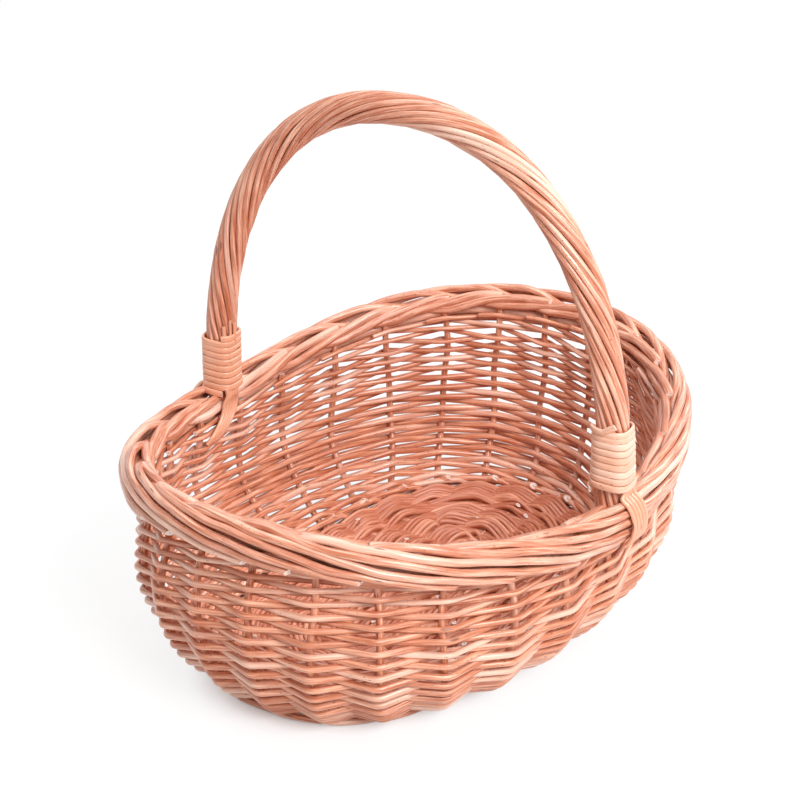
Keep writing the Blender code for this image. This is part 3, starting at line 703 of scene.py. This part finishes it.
class BASKET_OT_side_rods(bpy.types.Operator):
    """Weave the side: one rod started at each stake, all climbing a row at every stake"""
    bl_idname = "basket.side_rods"
    bl_label = "Side weaving"

    # share of the swing at the foot, and the rows after which it is whole
    FOOT_SWING = 0.76
    FOOT_ROWS = 5
    # how much further the butt swings in, and how much lower it lies
    BUTT_SWING = 1.9
    BUTT_DROP = 0.0015
    # how far a row lies above or below its place
    ROW_DRIFT = 0.0005

    def execute(self, context):
        setting = Setting(context.scene)
        rods = setting.rods
        material = willow(context.scene, "buff")
        courses = [f"side_course_{number}" for number in range(1, 7)]
        last = rods.row_count - 1
        for start in range(setting.count):
            draw = Rods(200 + start)
            lead = 0.24 + 0.08 * draw.dice.random()
            row = np.concatenate([[-lead], np.arange(rods.row_count), [last + 0.3]])
            angle = setting.angle(start + row)
            swell = draw.varied(0.10)
            taper = rods.butt_diameter + (rods.tip_diameter - rods.butt_diameter) * np.clip(row / last, 0, 1)
            half = taper / 2 * swell
            swing = (rods.stake_diameter / 2 + half) * np.where(np.round(row) % 2 == 0, 1.0, -1.0)
            swing = swing * np.interp(row, (0, self.FOOT_ROWS), (self.FOOT_SWING, 1.0))
            swing[0] *= self.BUTT_SWING
            drift = self.ROW_DRIFT * (draw.dice.random(len(row)) - 0.5) / setting.wall.length_at(angle)
            climb = setting.climb(angle, row) + drift
            climb[0] -= self.BUTT_DROP / setting.wall.length_at(angle[0])
            corners, normals = setting.wall.at(angle, climb, rods.stake_depth + swing)
            line, normal = rounded_line(corners, normals, 0.09)
            even = np.linspace(0, 1, len(line))
            size = np.interp(even, np.linspace(0, 1, len(half)), half)
            size = uneven(size, start, even, 0.06)
            draw.tube(line, normal, size, sides=10, slants=(-0.9, 0.0))
            draw.piece(f"side_rod_{start + 1:02d}", material, courses)
        return {"FINISHED"}


class BASKET_OT_upsett(bpy.types.Operator):
    """Weave the upsett: three rods that each pass outside two stakes and inside one"""
    bl_idname = "basket.upsett"
    bl_label = "Upsett"

    # stake at which the rods begin, and how far before it they start and past it they end
    FIRST_STAKE = 8
    LAP = (0.2, 0.25)
    # least height of the rods' underside above the floor
    CLEARANCE = 0.0001

    def execute(self, context):
        setting = Setting(context.scene)
        rods = setting.rods
        material = willow(context.scene, "stout")
        half = rods.wale_diameter / 2
        for number in range(3):
            draw = Rods(400 + number)
            station = np.arange(self.FIRST_STAKE - self.LAP[0],
                                self.FIRST_STAKE + setting.count + self.LAP[1], 1 / 16)
            phase = (station + number) / 3
            swing = -(rods.stake_diameter / 2 + half) * np.clip(-1.9 * np.cos(math.tau * phase), -1, 1)
            rise = half * 1.02 * np.sin(math.tau * phase)
            angle = setting.angle(station)
            climb = (rods.wale_middle + rise) / setting.wall.length_at(angle)
            line, normal = setting.wall.at(angle, climb, rods.stake_depth + swing)
            size = uneven(half, number, station, 2.3)
            line[:, 2] = np.maximum(line[:, 2], size + self.CLEARANCE)
            draw.tube(line, normal, size, sides=10, slants=(0.5, -0.5))
            draw.piece(f"upsett_rod_{number + 1}", material, ["upsett"])
        return {"FINISHED"}


class BASKET_OT_border(bpy.types.Operator):
    """Roll the border: every stake's end runs inside, dives under the others and winds out over them"""
    bl_idname = "basket.border"
    bl_label = "Border"

    # stations after the stake, turn round the section in degrees, share of the layer's half widths
    PATH = (
        (-0.12, 124, 0.84), (0.0, 127, 0.98), (0.5, 137, 1.03), (1.0, 149, 1.06), (1.5, 163, 1.10),
        (1.9, 172, 1.08), (2.2, 166, 0.80), (2.5, 134, 0.52), (2.8, 104, 0.62), (3.1, 88, 0.92),
        (3.4, 77, 1.06), (4.0, 59, 1.07), (5.0, 32, 1.05), (6.0, 5, 1.02), (7.0, -22, 1.00),
        (7.9, -47, 1.05),
    )

    def execute(self, context):
        setting = Setting(context.scene)
        rods = setting.rods
        shape = setting.shape
        # paler border colour: painted light on the border at the basket's top
        material = willow(context.scene, "border")
        half_out = shape.border_width / 2 - rods.border_rod_diameter * 0.45
        half_up = shape.border_height / 2 - rods.border_rod_diameter * 0.45
        table = np.array(self.PATH)
        for index in range(setting.count):
            draw = Rods(500 + index)
            finish = table[-1, 0] + 0.5 * (draw.dice.random() - 0.5)
            places = np.arange(table[0, 0], finish, 1 / 18)
            turn = self.rounded(np.interp(places, table[:, 0], table[:, 1]))
            reach = self.rounded(np.interp(places, table[:, 0], table[:, 2]))
            turn = turn + 6.5 * wander(520 + index, places, 4.2) + 2.5 * wander(540 + index, places, 1.7)
            reach = reach * (1 + 0.05 * wander(560 + index, places, 1.9) - 0.02)
            angle = setting.angle(index + places)
            turn = np.radians(turn)
            point, away = setting.in_border(angle, turn, half_out * reach, half_up * reach)
            size = rods.border_rod_diameter / 2 * draw.varied(0.07)
            size = uneven(size * (1.02 - 0.038 * places), 600 + index, places, 1.3)
            draw.tube(point, away, size, sides=12, slants=(0.25, -0.9))
            draw.piece(f"border_rod_{index + 1:02d}", material, ["border"])
        self.make_heart(setting, willow(context.scene, "stout"))
        return {"FINISHED"}

    @staticmethod
    def rounded(values, width=9):
        """Values with their corners rounded off, over an odd number of them."""
        window = np.hanning(width)
        padded = np.pad(values, width // 2, mode="edge")
        return np.convolve(padded, window / window.sum(), mode="valid")

    # share of the section's half widths, turn round it in degrees, its waviness, thickness
    HEART = (
        (0.10, 70, 0.30, 1.15), (0.42, 200, 0.25, 1.15), (0.55, 262, 0.20, 1.05),
        (0.60, 300, 0.10, 1.05),
    )

    @classmethod
    def make_heart(cls, setting, material):
        """Rods inside the roll and under it, which close the gaps."""
        shape = setting.shape
        radius = setting.rods.border_rod_diameter / 2
        around = np.linspace(0, math.tau, 420)
        for number, (reach, turn, wave, thick) in enumerate(cls.HEART):
            draw = Rods(640 + number)
            turns = np.radians(turn + 14 * np.sin(around * 9 + number))
            out = (shape.border_width / 2 - radius) * (reach + wave * 0.25 * np.sin(around * 13 + number))
            up = (shape.border_height / 2 - radius) * (reach + 0.12)
            point, away = setting.in_border(around, turns, out, np.broadcast_to(up, out.shape))
            draw.tube(point, away, radius * thick, sides=10)
            draw.piece(f"border_heart_rod_{number + 1}", material, ["border"])


class BASKET_OT_base(bpy.types.Operator):
    """Weave the base: rounds of two thin rods that twist between its sticks"""
    bl_idname = "basket.base"
    bl_label = "Base weaving"

    def execute(self, context):
        setting = Setting(context.scene)
        rods = setting.rods
        wall = setting.wall
        shape = setting.shape
        # darker base colour: painted shade on the floor inside the basket
        material = willow(context.scene, "base")
        radius = rods.base_rod_diameter / 2
        swing = 0.0049
        stretch = wall.base_length - wall.base_width
        widths = np.arange(wall.base_width - radius - 0.0012, 0.002, -rods.base_rod_pitch)
        cross = self.stick_places("cross_stick", 0)
        along = self.stick_places("long_stick", 1)
        for number in range(2 * len(widths)):
            width = widths[number // 2]
            draw = Rods(700 + number)
            loop = self.round_at(setting, width, stretch, draw.dice.random())
            angle = np.unwrap(np.arctan2(loop[:, 1], loop[:, 0]))
            if width > wall.base_width - rods.stake_depth - 0.018:
                station = np.interp(np.mod(angle, math.tau), setting.knots, np.arange(len(setting.knots)) - 1)
                lift = 0.82 * swing
            else:
                station = self.stations(loop, cross, along)
                lift = swing
            station = station + number % 2
            height = zigzag(station + 0.07 * wander(number + 20, angle, 0.7), 0.15) * lift
            height = height * (0.95 + 0.12 * wander(number, angle, 0.9))
            ahead = unit(np.gradient(loop, axis=0))
            run = np.concatenate([[0], np.cumsum(np.linalg.norm(np.diff(loop, axis=0), axis=1))])
            height = height + 0.0035 * np.exp(-run / 0.005) - 0.0015 * np.exp((run - run[-1]) / 0.005)
            aside = 0.75 * radius * np.sin(math.pi * station) + 0.3 * radius * wander(number + 60, angle, 1.3)
            loop = loop + np.column_stack([ahead[:, 1], -ahead[:, 0]]) * aside[:, None]
            size = uneven(radius, number + 40, angle, 1.1, 0.05)
            line = np.column_stack([loop, np.maximum(shape.base_middle + height, size + 0.0003)])
            draw.tube(line, UP, size, size, sides=8, slants=(0.9, -0.8))
            draw.piece(f"base_rod_{number + 1:02d}", material, ["base_mat_lower", "base_mat_upper"])
        self.make_heart(setting, widths, stretch, material)
        return {"FINISHED"}

    @staticmethod
    def make_heart(setting, widths, stretch, material):
        """Flat rounds between the rods that swing up and those that swing down, which close the gaps and, set
        to the lowest tone, paint the shade in them.
        """
        draw = Rods(790)
        for width in widths:
            loop = BASKET_OT_base.round_at(setting, width, stretch, draw.dice.random())[::3]
            line = np.column_stack([loop, np.full(len(loop), setting.shape.base_middle)])
            # tone 0.1 pulls these rounds towards the deep colour: painted shade in the gaps of the base
            draw.tube(line, UP, 0.0015, 0.0019, sides=8, tone=0.1)
        draw.piece("base_heart_rods", material, ["base_mat_lower", "base_mat_upper"])

    @staticmethod
    def round_at(setting, width, stretch, begin):
        """One round of the base: straight along the sides, round at the ends, squarer at the edge."""
        straight = 2 * stretch
        bend = math.pi * width
        lengths = (np.linspace(0, 1, 721)[:-1] + begin) % 1 * 2 * (straight + bend)
        half = np.mod(lengths, straight + bend)
        flip = np.where(lengths < straight + bend, 1.0, -1.0)
        turn = np.clip(half - straight, 0, None) / width
        across = np.where(half < straight, stretch - half, -stretch - width * np.sin(turn))
        upward = np.where(half < straight, width, width * np.cos(turn))
        loop = np.stack([across * flip, upward * flip], axis=-1)
        wall = setting.wall
        angle = np.arctan2(loop[:, 1], loop[:, 0])
        edge = oval_reach(angle, wall.base_length, wall.base_width, setting.shape.base_squareness)
        outer = BASKET_OT_base.edge_of_round(angle, wall.base_width, stretch)
        blend = (width / wall.base_width) ** 3
        return loop * (1 + (edge / outer - 1) * blend)[:, None]

    @staticmethod
    def edge_of_round(angle, width, stretch):
        """Distance to a round with straight sides, by angle."""
        across = np.abs(np.cos(angle))
        upward = np.abs(np.sin(angle))
        beside = stretch * across + np.sqrt(np.maximum(width ** 2 - (stretch * upward) ** 2, 0))
        above = width / np.maximum(upward, 1e-6)
        return np.where(above * across < stretch, above, beside)

    @staticmethod
    def stick_places(kind, axis):
        """Where the sticks lie across the base."""
        names = sorted(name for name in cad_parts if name.startswith(kind))
        return [(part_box(name)[0][axis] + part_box(name)[1][axis]) / 2 for name in names]

    @staticmethod
    def stations(loop, cross, along):
        """A count along a loop that is whole where the loop crosses a stick."""
        ahead = np.roll(loop, -1, axis=0)
        crossed = []
        for place in cross:
            crossed.extend(np.nonzero((loop[:, 0] - place) * (ahead[:, 0] - place) <= 0)[0])
        widest = max(abs(place) for place in cross)
        for place in along:
            hits = np.nonzero((loop[:, 1] - place) * (ahead[:, 1] - place) <= 0)[0]
            crossed.extend(hit for hit in hits if abs(loop[hit, 0]) > widest + 0.004)
        crossed = sorted(set(int(hit) for hit in crossed))
        if len(crossed) % 2:
            crossed = crossed[:-1]
        places = np.arange(len(loop))
        knots = [crossed[-1] - len(loop), *crossed, crossed[0] + len(loop)]
        return np.interp(places, knots, np.arange(len(knots)) - 1)


def handle_span(shape):
    """Half the distance between the handle's legs, whose rods lean a little inwards from the core."""
    return shape.rim_half_width - shape.border_width / 2 - shape.leg_inset - shape.leg_lean


def handle_line(setting):
    """Middle line of the handle from its left foot over to its right one, evenly divided."""
    shape = setting.shape
    span = handle_span(shape)
    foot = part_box("binding_left")[0][2] - setting.rods.strand_foot
    turn = np.linspace(0, math.pi, 1200)
    power = 2 / shape.handle_squareness
    across = np.sign(np.cos(turn)) * np.abs(np.cos(turn)) ** power * span
    rise = shape.rim_height + (shape.handle_height - shape.rim_height) * np.abs(np.sin(turn)) ** power
    leg = np.linspace(foot, shape.rim_height, 12)[:-1]
    across = np.concatenate([np.full(11, span), across, np.full(11, -span)])
    rise = np.concatenate([leg, rise, leg[::-1]])
    line = np.column_stack([np.full(len(rise), shape.handle_offset), across, rise])
    steps = np.linalg.norm(np.diff(line, axis=0), axis=1)
    lengths = np.concatenate([[0], np.cumsum(steps)])
    even = np.linspace(0, lengths[-1], 330)
    line = np.column_stack([np.interp(even, lengths, line[:, axis]) for axis in range(3)])
    return line, even


def about(line, places, distance, turn, radius):
    """Points round a line, with the directions away from it."""
    here = np.column_stack([np.interp(distance, places, line[:, axis]) for axis in range(3)])
    tangent = unit(np.gradient(line, axis=0))
    ahead = unit(np.column_stack([np.interp(distance, places, tangent[:, axis]) for axis in range(3)]))
    outward = unit(np.cross(ahead, ALONG))
    away = ALONG * np.cos(turn)[:, None] + outward * np.sin(turn)[:, None]
    return here + away * np.asarray(radius)[..., None], away


class BASKET_OT_handle(bpy.types.Operator):
    """Lay the thin rods round the handle's core"""
    bl_idname = "basket.handle"
    bl_label = "Handle"

    # room left at each end of the core, and how much further in a strand's end may lie
    END_ROOM = 0.001
    END_SPREAD = 0.004
    PLACES = 250

    def execute(self, context):
        setting = Setting(context.scene)
        rods = setting.rods
        # the border's paler colour: painted light on the handle's strands
        material = willow(context.scene, "border")
        line, places = handle_line(setting)
        replaced = [f"handle_rod_{number}" for number in range(1, 9)]
        for number in range(rods.strand_count):
            draw = Rods(800 + number)
            early = self.END_SPREAD * draw.dice.random()
            late = self.END_SPREAD * draw.dice.random()
            distance = np.linspace(self.END_ROOM + early, places[-1] - self.END_ROOM - late, self.PLACES)
            turn = math.tau * number / rods.strand_count - math.tau * distance / rods.strand_pitch
            turn = turn + 0.065 * wander(820 + number, distance, 0.17)
            size = rods.strand_diameter / 2 * draw.varied(0.13)
            size = uneven(size, 840 + number, distance, 0.1)
            radius = rods.strand_radius + 0.0004 * wander(860 + number, distance, 0.12)
            point, away = about(line, places, distance, turn, radius)
            draw.tube(point, away, size, sides=10, slants=(0.3, 0.3))
            draw.piece(f"handle_strand_{number + 1:02d}", material, replaced)
        return {"FINISHED"}


def binding_reach(rods, name):
    """Foot of a binding above the border's top, and its height."""
    return getattr(rods, f"{name}_binding_foot"), getattr(rods, f"{name}_binding_height")


class BASKET_OT_bindings(bpy.types.Operator):
    """Wind the skein round each foot of the handle"""
    bl_idname = "basket.bindings"
    bl_label = "Bindings"

    # degrees that the bound bundle's corners are turned, and radians where its last turn dips
    CORNER = 7
    SLANT = 1.9

    def execute(self, context):
        setting = Setting(context.scene)
        rods = setting.rods
        material = willow(context.scene, "skein")
        line, places = handle_line(setting)
        for name, from_end in (("left", False), ("right", True)):
            draw = Rods(900 + from_end)
            foot, height = binding_reach(rods, name)
            wound = np.linspace(0, rods.skein_turns, rods.skein_turns * 48 + 1)
            pitch = height / (rods.skein_turns + 1)
            last = np.clip(wound - rods.skein_turns + 2, 0, 2) / 2
            turn = wound * math.tau * (1 if from_end else -1) + math.radians(215)
            distance = rods.strand_foot + foot + (wound + 0.5) * pitch
            distance = distance - pitch * 0.5 * last * (1 + np.cos(turn - self.SLANT)) / 2
            flare = rods.right_binding_flare * (1 - wound / rods.skein_turns) if from_end else 0 * wound
            flare = flare + 0.0007 * np.clip(1.25 - wound, 0, 1)
            corner = math.radians(-self.CORNER if from_end else self.CORNER)
            square = oval_reach(turn - corner, 1.0, 1.0, rods.binding_squareness)
            radius = (rods.binding_radius + flare) * square + 0.00015 * wander(920 + from_end, wound, 0.83)
            if from_end:
                distance = places[-1] - distance
            point, away = about(line, places, distance, turn, radius)
            broad = pitch / 2 * (0.97 + 0.03 * wander(930 + from_end, wound, 1.3))
            draw.tube(point, away, rods.skein_thickness / 2, broad, sides=14, fullness=3.0)
            if from_end:
                self.add_tuck(draw, line, places, rods)
            else:
                self.add_tails(draw, line, places, rods)
            draw.piece(f"skein_binding_{name}", material, [f"binding_{name}"])
        return {"FINISHED"}

    @staticmethod
    def add_tails(draw, line, places, rods):
        """Ends of the border's rods, tucked up under the left binding and clipped above it."""
        foot, height = binding_reach(rods, "left")
        top = rods.strand_foot + foot + height
        radius = rods.strand_radius + rods.strand_diameter / 2 + 0.0010
        for turn, rise, thick in ((229, 0.0062, 0.0026), (250, 0.0105, 0.0021), (268, 0.0078, 0.0027)):
            distance = np.linspace(top - 0.006, top + rise, 12)
            turns = np.radians(turn) + np.linspace(0, -0.10, 12)
            point, away = about(line, places, distance, turns, radius)
            draw.tube(point, away, thick / 2, thick / 2, sides=10, slants=(0.0, 0.6))


    @classmethod
    def add_tuck(cls, draw, line, places, rods):
        """End of the right binding's skein, laid slanting over its top turn."""
        foot, height = binding_reach(rods, "right")
        degrees = np.linspace(224, 146, 16)
        rise = np.interp(degrees, (146, 184, 224), (0.0040, -0.0002, 0.0016))
        turn = np.radians(degrees)
        square = oval_reach(turn + math.radians(cls.CORNER), 1.0, 1.0, rods.binding_squareness)
        distance = places[-1] - (rods.strand_foot + foot + height - 0.0026 + rise)
        point, away = about(line, places, distance, turn, rods.binding_radius * square + 0.0012)
        draw.tube(point, away, rods.skein_thickness / 2, 0.0021, sides=14, fullness=3.0)


class BASKET_OT_ties(bpy.types.Operator):
    """Lay the flat skeins over the border at each foot of the handle"""
    bl_idname = "basket.ties"
    bl_label = "Ties"

    # turn round the border in degrees, drift along the rim in tie widths
    OUTER = ((66, 0.0), (46, 0.05), (24, 0.16), (0, 0.28), (-24, 0.36), (-46, 0.40), (-60, 0.42))
    # share of the wall's height, drift along the rim in tie widths
    INNER = ((1.21, 0.26), (1.15, 0.38), (1.09, 0.68), (1.04, 1.12), (1.00, 1.38))
    THICKNESS = 0.0014
    # half width of a skein at its start, at a quarter and at its end, as a share of its own room
    TAPER = (0.60, 0.78, 0.80)
    # how high the outer skeins lie on the border's section
    OUTER_LIFT = 0.0022
    # how deep the inner skeins lie in the wall, and how much less their last point does
    INNER_DEPTH = 0.0136
    INNER_RISE = 0.0025
    # share of the outer drift at each foot
    SWAY = {"left": 0.9, "right": 0.45}

    def execute(self, context):
        setting = Setting(context.scene)
        rods = setting.rods
        material = willow(context.scene, "skein")
        half = rods.tie_width / rods.tie_skeins / 2
        for name in ("left", "right"):
            for face in ("outer", "inner"):
                draw = Rods(1000 + len(name) * 10 + len(face) + (face == "outer"))
                for number in range(rods.tie_skeins):
                    off = (number + 0.5) / rods.tie_skeins - 0.5
                    corners, normals = self.route(setting, name, face == "outer", off)
                    line = smooth_line(corners, 8)
                    normal = unit(smooth_line(normals, 8))
                    wide = half * np.interp(np.linspace(0, 1, len(line)), (0, 0.25, 1), self.TAPER)
                    draw.tube(line, normal, self.THICKNESS, wide, sides=12)
                draw.piece(f"skein_tie_{name}_{face}", material, [f"tie_{name}_{face}"])
        return {"FINISHED"}

    def route(self, setting, name, outer, off):
        """Points of one skein from inside the binding over the border, and the directions away from it."""
        shape, rods = setting.shape, setting.rods
        side = 1 if name == "left" else -1
        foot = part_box("binding_left")[0][2] + binding_reach(rods, name)[0]
        middle = math.atan2(side * (shape.rim_half_width - shape.border_width / 2), shape.handle_offset)
        facing = side if outer else -side
        leg = np.array((shape.handle_offset, side * handle_span(shape), 0.0))
        out = np.array((0.0, facing, 0.0))
        beside = ALONG * rods.tie_width * (0.70 * off + (0.0 if outer else 0.2)) * -side
        near = rods.binding_radius - 0.0010
        corners = [leg + out * near + beside + UP * (foot + 0.006),
                   leg + out * (near + 0.0008) + beside + UP * (foot + 0.001)]
        normals = [out, out]
        width = rods.tie_width / shape.rim_half_width
        if outer:
            for turn, drift in self.OUTER:
                angle = middle + width * (off + drift * self.SWAY[name])
                point, away = setting.in_border(angle, math.radians(turn),
                                                shape.border_width / 2 + self.OUTER_LIFT,
                                                shape.border_height / 2 + self.OUTER_LIFT)
                corners.append(point)
                normals.append(away)
        else:
            for number, (climb, drift) in enumerate(self.INNER):
                depth = self.INNER_DEPTH - self.INNER_RISE * (number == len(self.INNER) - 1)
                point, away = setting.wall.at(middle + width * (off + drift), climb, depth)
                corners.append(point)
                normals.append(-away)
        return np.array(corners), np.array(normals)


class BASKET_OT_kept_rods(bpy.types.Operator):
    """Finish the base's sticks and the handle's core, which stay as the solids are"""
    bl_idname = "basket.kept_rods"
    bl_label = "Sticks and core"

    def execute(self, context):
        colours = context.scene.basket_colours
        runs = {"cross_stick": (0, 1, 0), "long_stick": (1, 0, 0), "handle_core": (0, 1, 0)}
        for kind, run in runs.items():
            material = willow_material(f"{kind}_finish", colours, colours.middle, colours.deep, colours.pale,
                                       KEPT_ROUGHNESS, run)
            for item in node_objects(kind):
                for slot in item.material_slots:
                    slot.material = material
        return {"FINISHED"}


def node_objects(kind):
    """The frame's own objects whose names start with a word."""
    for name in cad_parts:
        if name.startswith(kind):
            yield bpy.data.objects[name]


class BASKET_OT_studio(bpy.types.Operator):
    """Set the floor, the lamps and the camera"""
    bl_idname = "basket.studio"
    bl_label = "Studio"

    # half axes of the oval under the basket, and where in it the floor turns from shadow to white
    SHADOW_OVAL = (0.166, 0.098)
    SHADOW_EDGE = (0.90, 1.22)
    # each lamp's size and place
    LAMPS = {
        "key": (1.4, (-0.8, -1.95, 1.9)),
        "top": (1.6, (0.2, 0.5, 2.2)),
        "fill": (1.4, (2.0, -0.5, 1.2)),
    }
    LAMP_AIM_HEIGHT = 0.12

    def execute(self, context):
        scene = context.scene
        studio = scene.basket_studio
        scene.view_settings.view_transform = "Standard"
        self.make_floor(scene, studio)
        self.make_sky(scene, studio)
        for name, (size, place) in self.LAMPS.items():
            self.make_lamp(scene, f"lamp_{name}", getattr(studio, f"{name}_power"), size, place)
        self.make_camera(scene, studio)
        return {"FINISHED"}

    @classmethod
    def make_floor(cls, scene, studio):
        half = studio.floor_size / 2
        mesh = bpy.data.meshes.new("floor")
        corners = [(-half, -half, 0), (half, -half, 0), (half, half, 0), (-half, half, 0)]
        mesh.from_pydata(corners, [], [(0, 1, 2, 3)])
        material = named_material("pale_floor")
        recipe = Recipe(material)
        seen = recipe.sees_white()
        tint = recipe.mixed(seen, studio.floor_shade, (1.0, 1.0, 1.0))
        lit = recipe.node("ShaderNodeBsdfDiffuse", {"Color": tint}).outputs[0]
        white = recipe.node("ShaderNodeEmission", {"Color": (1.0, 1.0, 1.0, 1.0)}).outputs[0]
        long, short = cls.SHADOW_OVAL
        spot = recipe.node("ShaderNodeNewGeometry").outputs["Position"]
        reach = recipe.length_of(recipe.stretched(spot, (1 / long, 1 / short, 0)))
        glow = recipe.between(reach, *cls.SHADOW_EDGE, 0.0, studio.floor_glow)
        share_of_white = recipe.maths("MULTIPLY", seen, glow)
        shader = recipe.node("ShaderNodeMixShader", {0: share_of_white, 1: lit, 2: white})
        recipe.node("ShaderNodeOutputMaterial", {"Surface": shader.outputs[0]})
        mesh.materials.append(material)
        floor = bpy.data.objects.new("floor", mesh)
        scene.collection.objects.link(floor)

    @staticmethod
    def make_sky(scene, studio):
        world = scene.world or bpy.data.worlds.new("sky")
        scene.world = world
        recipe = Recipe(world)
        level = recipe.between(recipe.sees_white(), 0.0, 1.0, studio.sky_strength, 1.0)
        background = recipe.node("ShaderNodeBackground", {"Color": (1.0, 1.0, 1.0, 1.0), "Strength": level})
        recipe.node("ShaderNodeOutputWorld", {"Surface": background.outputs[0]})

    @classmethod
    def make_lamp(cls, scene, name, power, size, place):
        data = bpy.data.lights.new(name, "AREA")
        data.energy = power
        data.size = size
        lamp = bpy.data.objects.new(name, data)
        scene.collection.objects.link(lamp)
        lamp.location = place
        aim = Vector((0, 0, cls.LAMP_AIM_HEIGHT)) - Vector(place)
        lamp.rotation_euler = aim.to_track_quat("-Z", "Y").to_euler()

    @staticmethod
    def make_camera(scene, studio):
        data = bpy.data.cameras.new("camera")
        data.sensor_width = 36.0
        data.lens = studio.lens
        data.shift_x = studio.shift_x
        data.shift_y = studio.shift_y
        camera = bpy.data.objects.new("camera", data)
        scene.collection.objects.link(camera)
        azimuth, elevation = studio.azimuth, studio.elevation
        back = Vector((math.sin(azimuth) * math.cos(elevation), -math.cos(azimuth) * math.cos(elevation),
                       math.sin(elevation)))
        right = Vector((math.cos(azimuth), math.sin(azimuth), 0))
        up = back.cross(right)
        turned = Matrix((right, up, back)).transposed().to_4x4()
        place = Vector((0, 0, studio.aim_height)) + back * studio.distance
        camera.matrix_world = Matrix.Translation(place) @ turned
        scene.camera = camera


class BASKET_PT_panel(bpy.types.Panel):
    """The basket's pieces, in the order in which they are made"""
    bl_label = "Willow basket"
    bl_idname = "BASKET_PT_panel"
    bl_space_type = "VIEW_3D"
    bl_region_type = "UI"
    bl_category = "Basket"

    def draw(self, context):
        for operator in OPERATORS:
            self.layout.operator(operator.bl_idname)


OPERATORS = (
    BASKET_OT_kept_rods,
    BASKET_OT_base,
    BASKET_OT_stakes,
    BASKET_OT_upsett,
    BASKET_OT_side_rods,
    BASKET_OT_border,
    BASKET_OT_handle,
    BASKET_OT_bindings,
    BASKET_OT_ties,
    BASKET_OT_studio,
)
GROUPS = (
    ("basket_shape", BasketShape),
    ("basket_rods", RodSizes),
    ("basket_colours", WillowColours),
    ("basket_studio", StudioSetting),
)


def register():
    """Register the settings, the operators and the panel."""
    for name, group in GROUPS:
        bpy.utils.register_class(group)
        setattr(bpy.types.Scene, name, PointerProperty(type=group))
    for made in (*OPERATORS, BASKET_PT_panel):
        bpy.utils.register_class(made)


def unregister():
    """Take them all out again."""
    for made in (BASKET_PT_panel, *reversed(OPERATORS)):
        bpy.utils.unregister_class(made)
    for name, group in reversed(GROUPS):
        delattr(bpy.types.Scene, name)
        bpy.utils.unregister_class(group)


def main():
    """Make every piece."""
    register()
    for operator in OPERATORS:
        area, name = operator.bl_idname.split(".")
        getattr(getattr(bpy.ops, area), name)()
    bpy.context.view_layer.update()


if __name__ == "__main__":
    main()
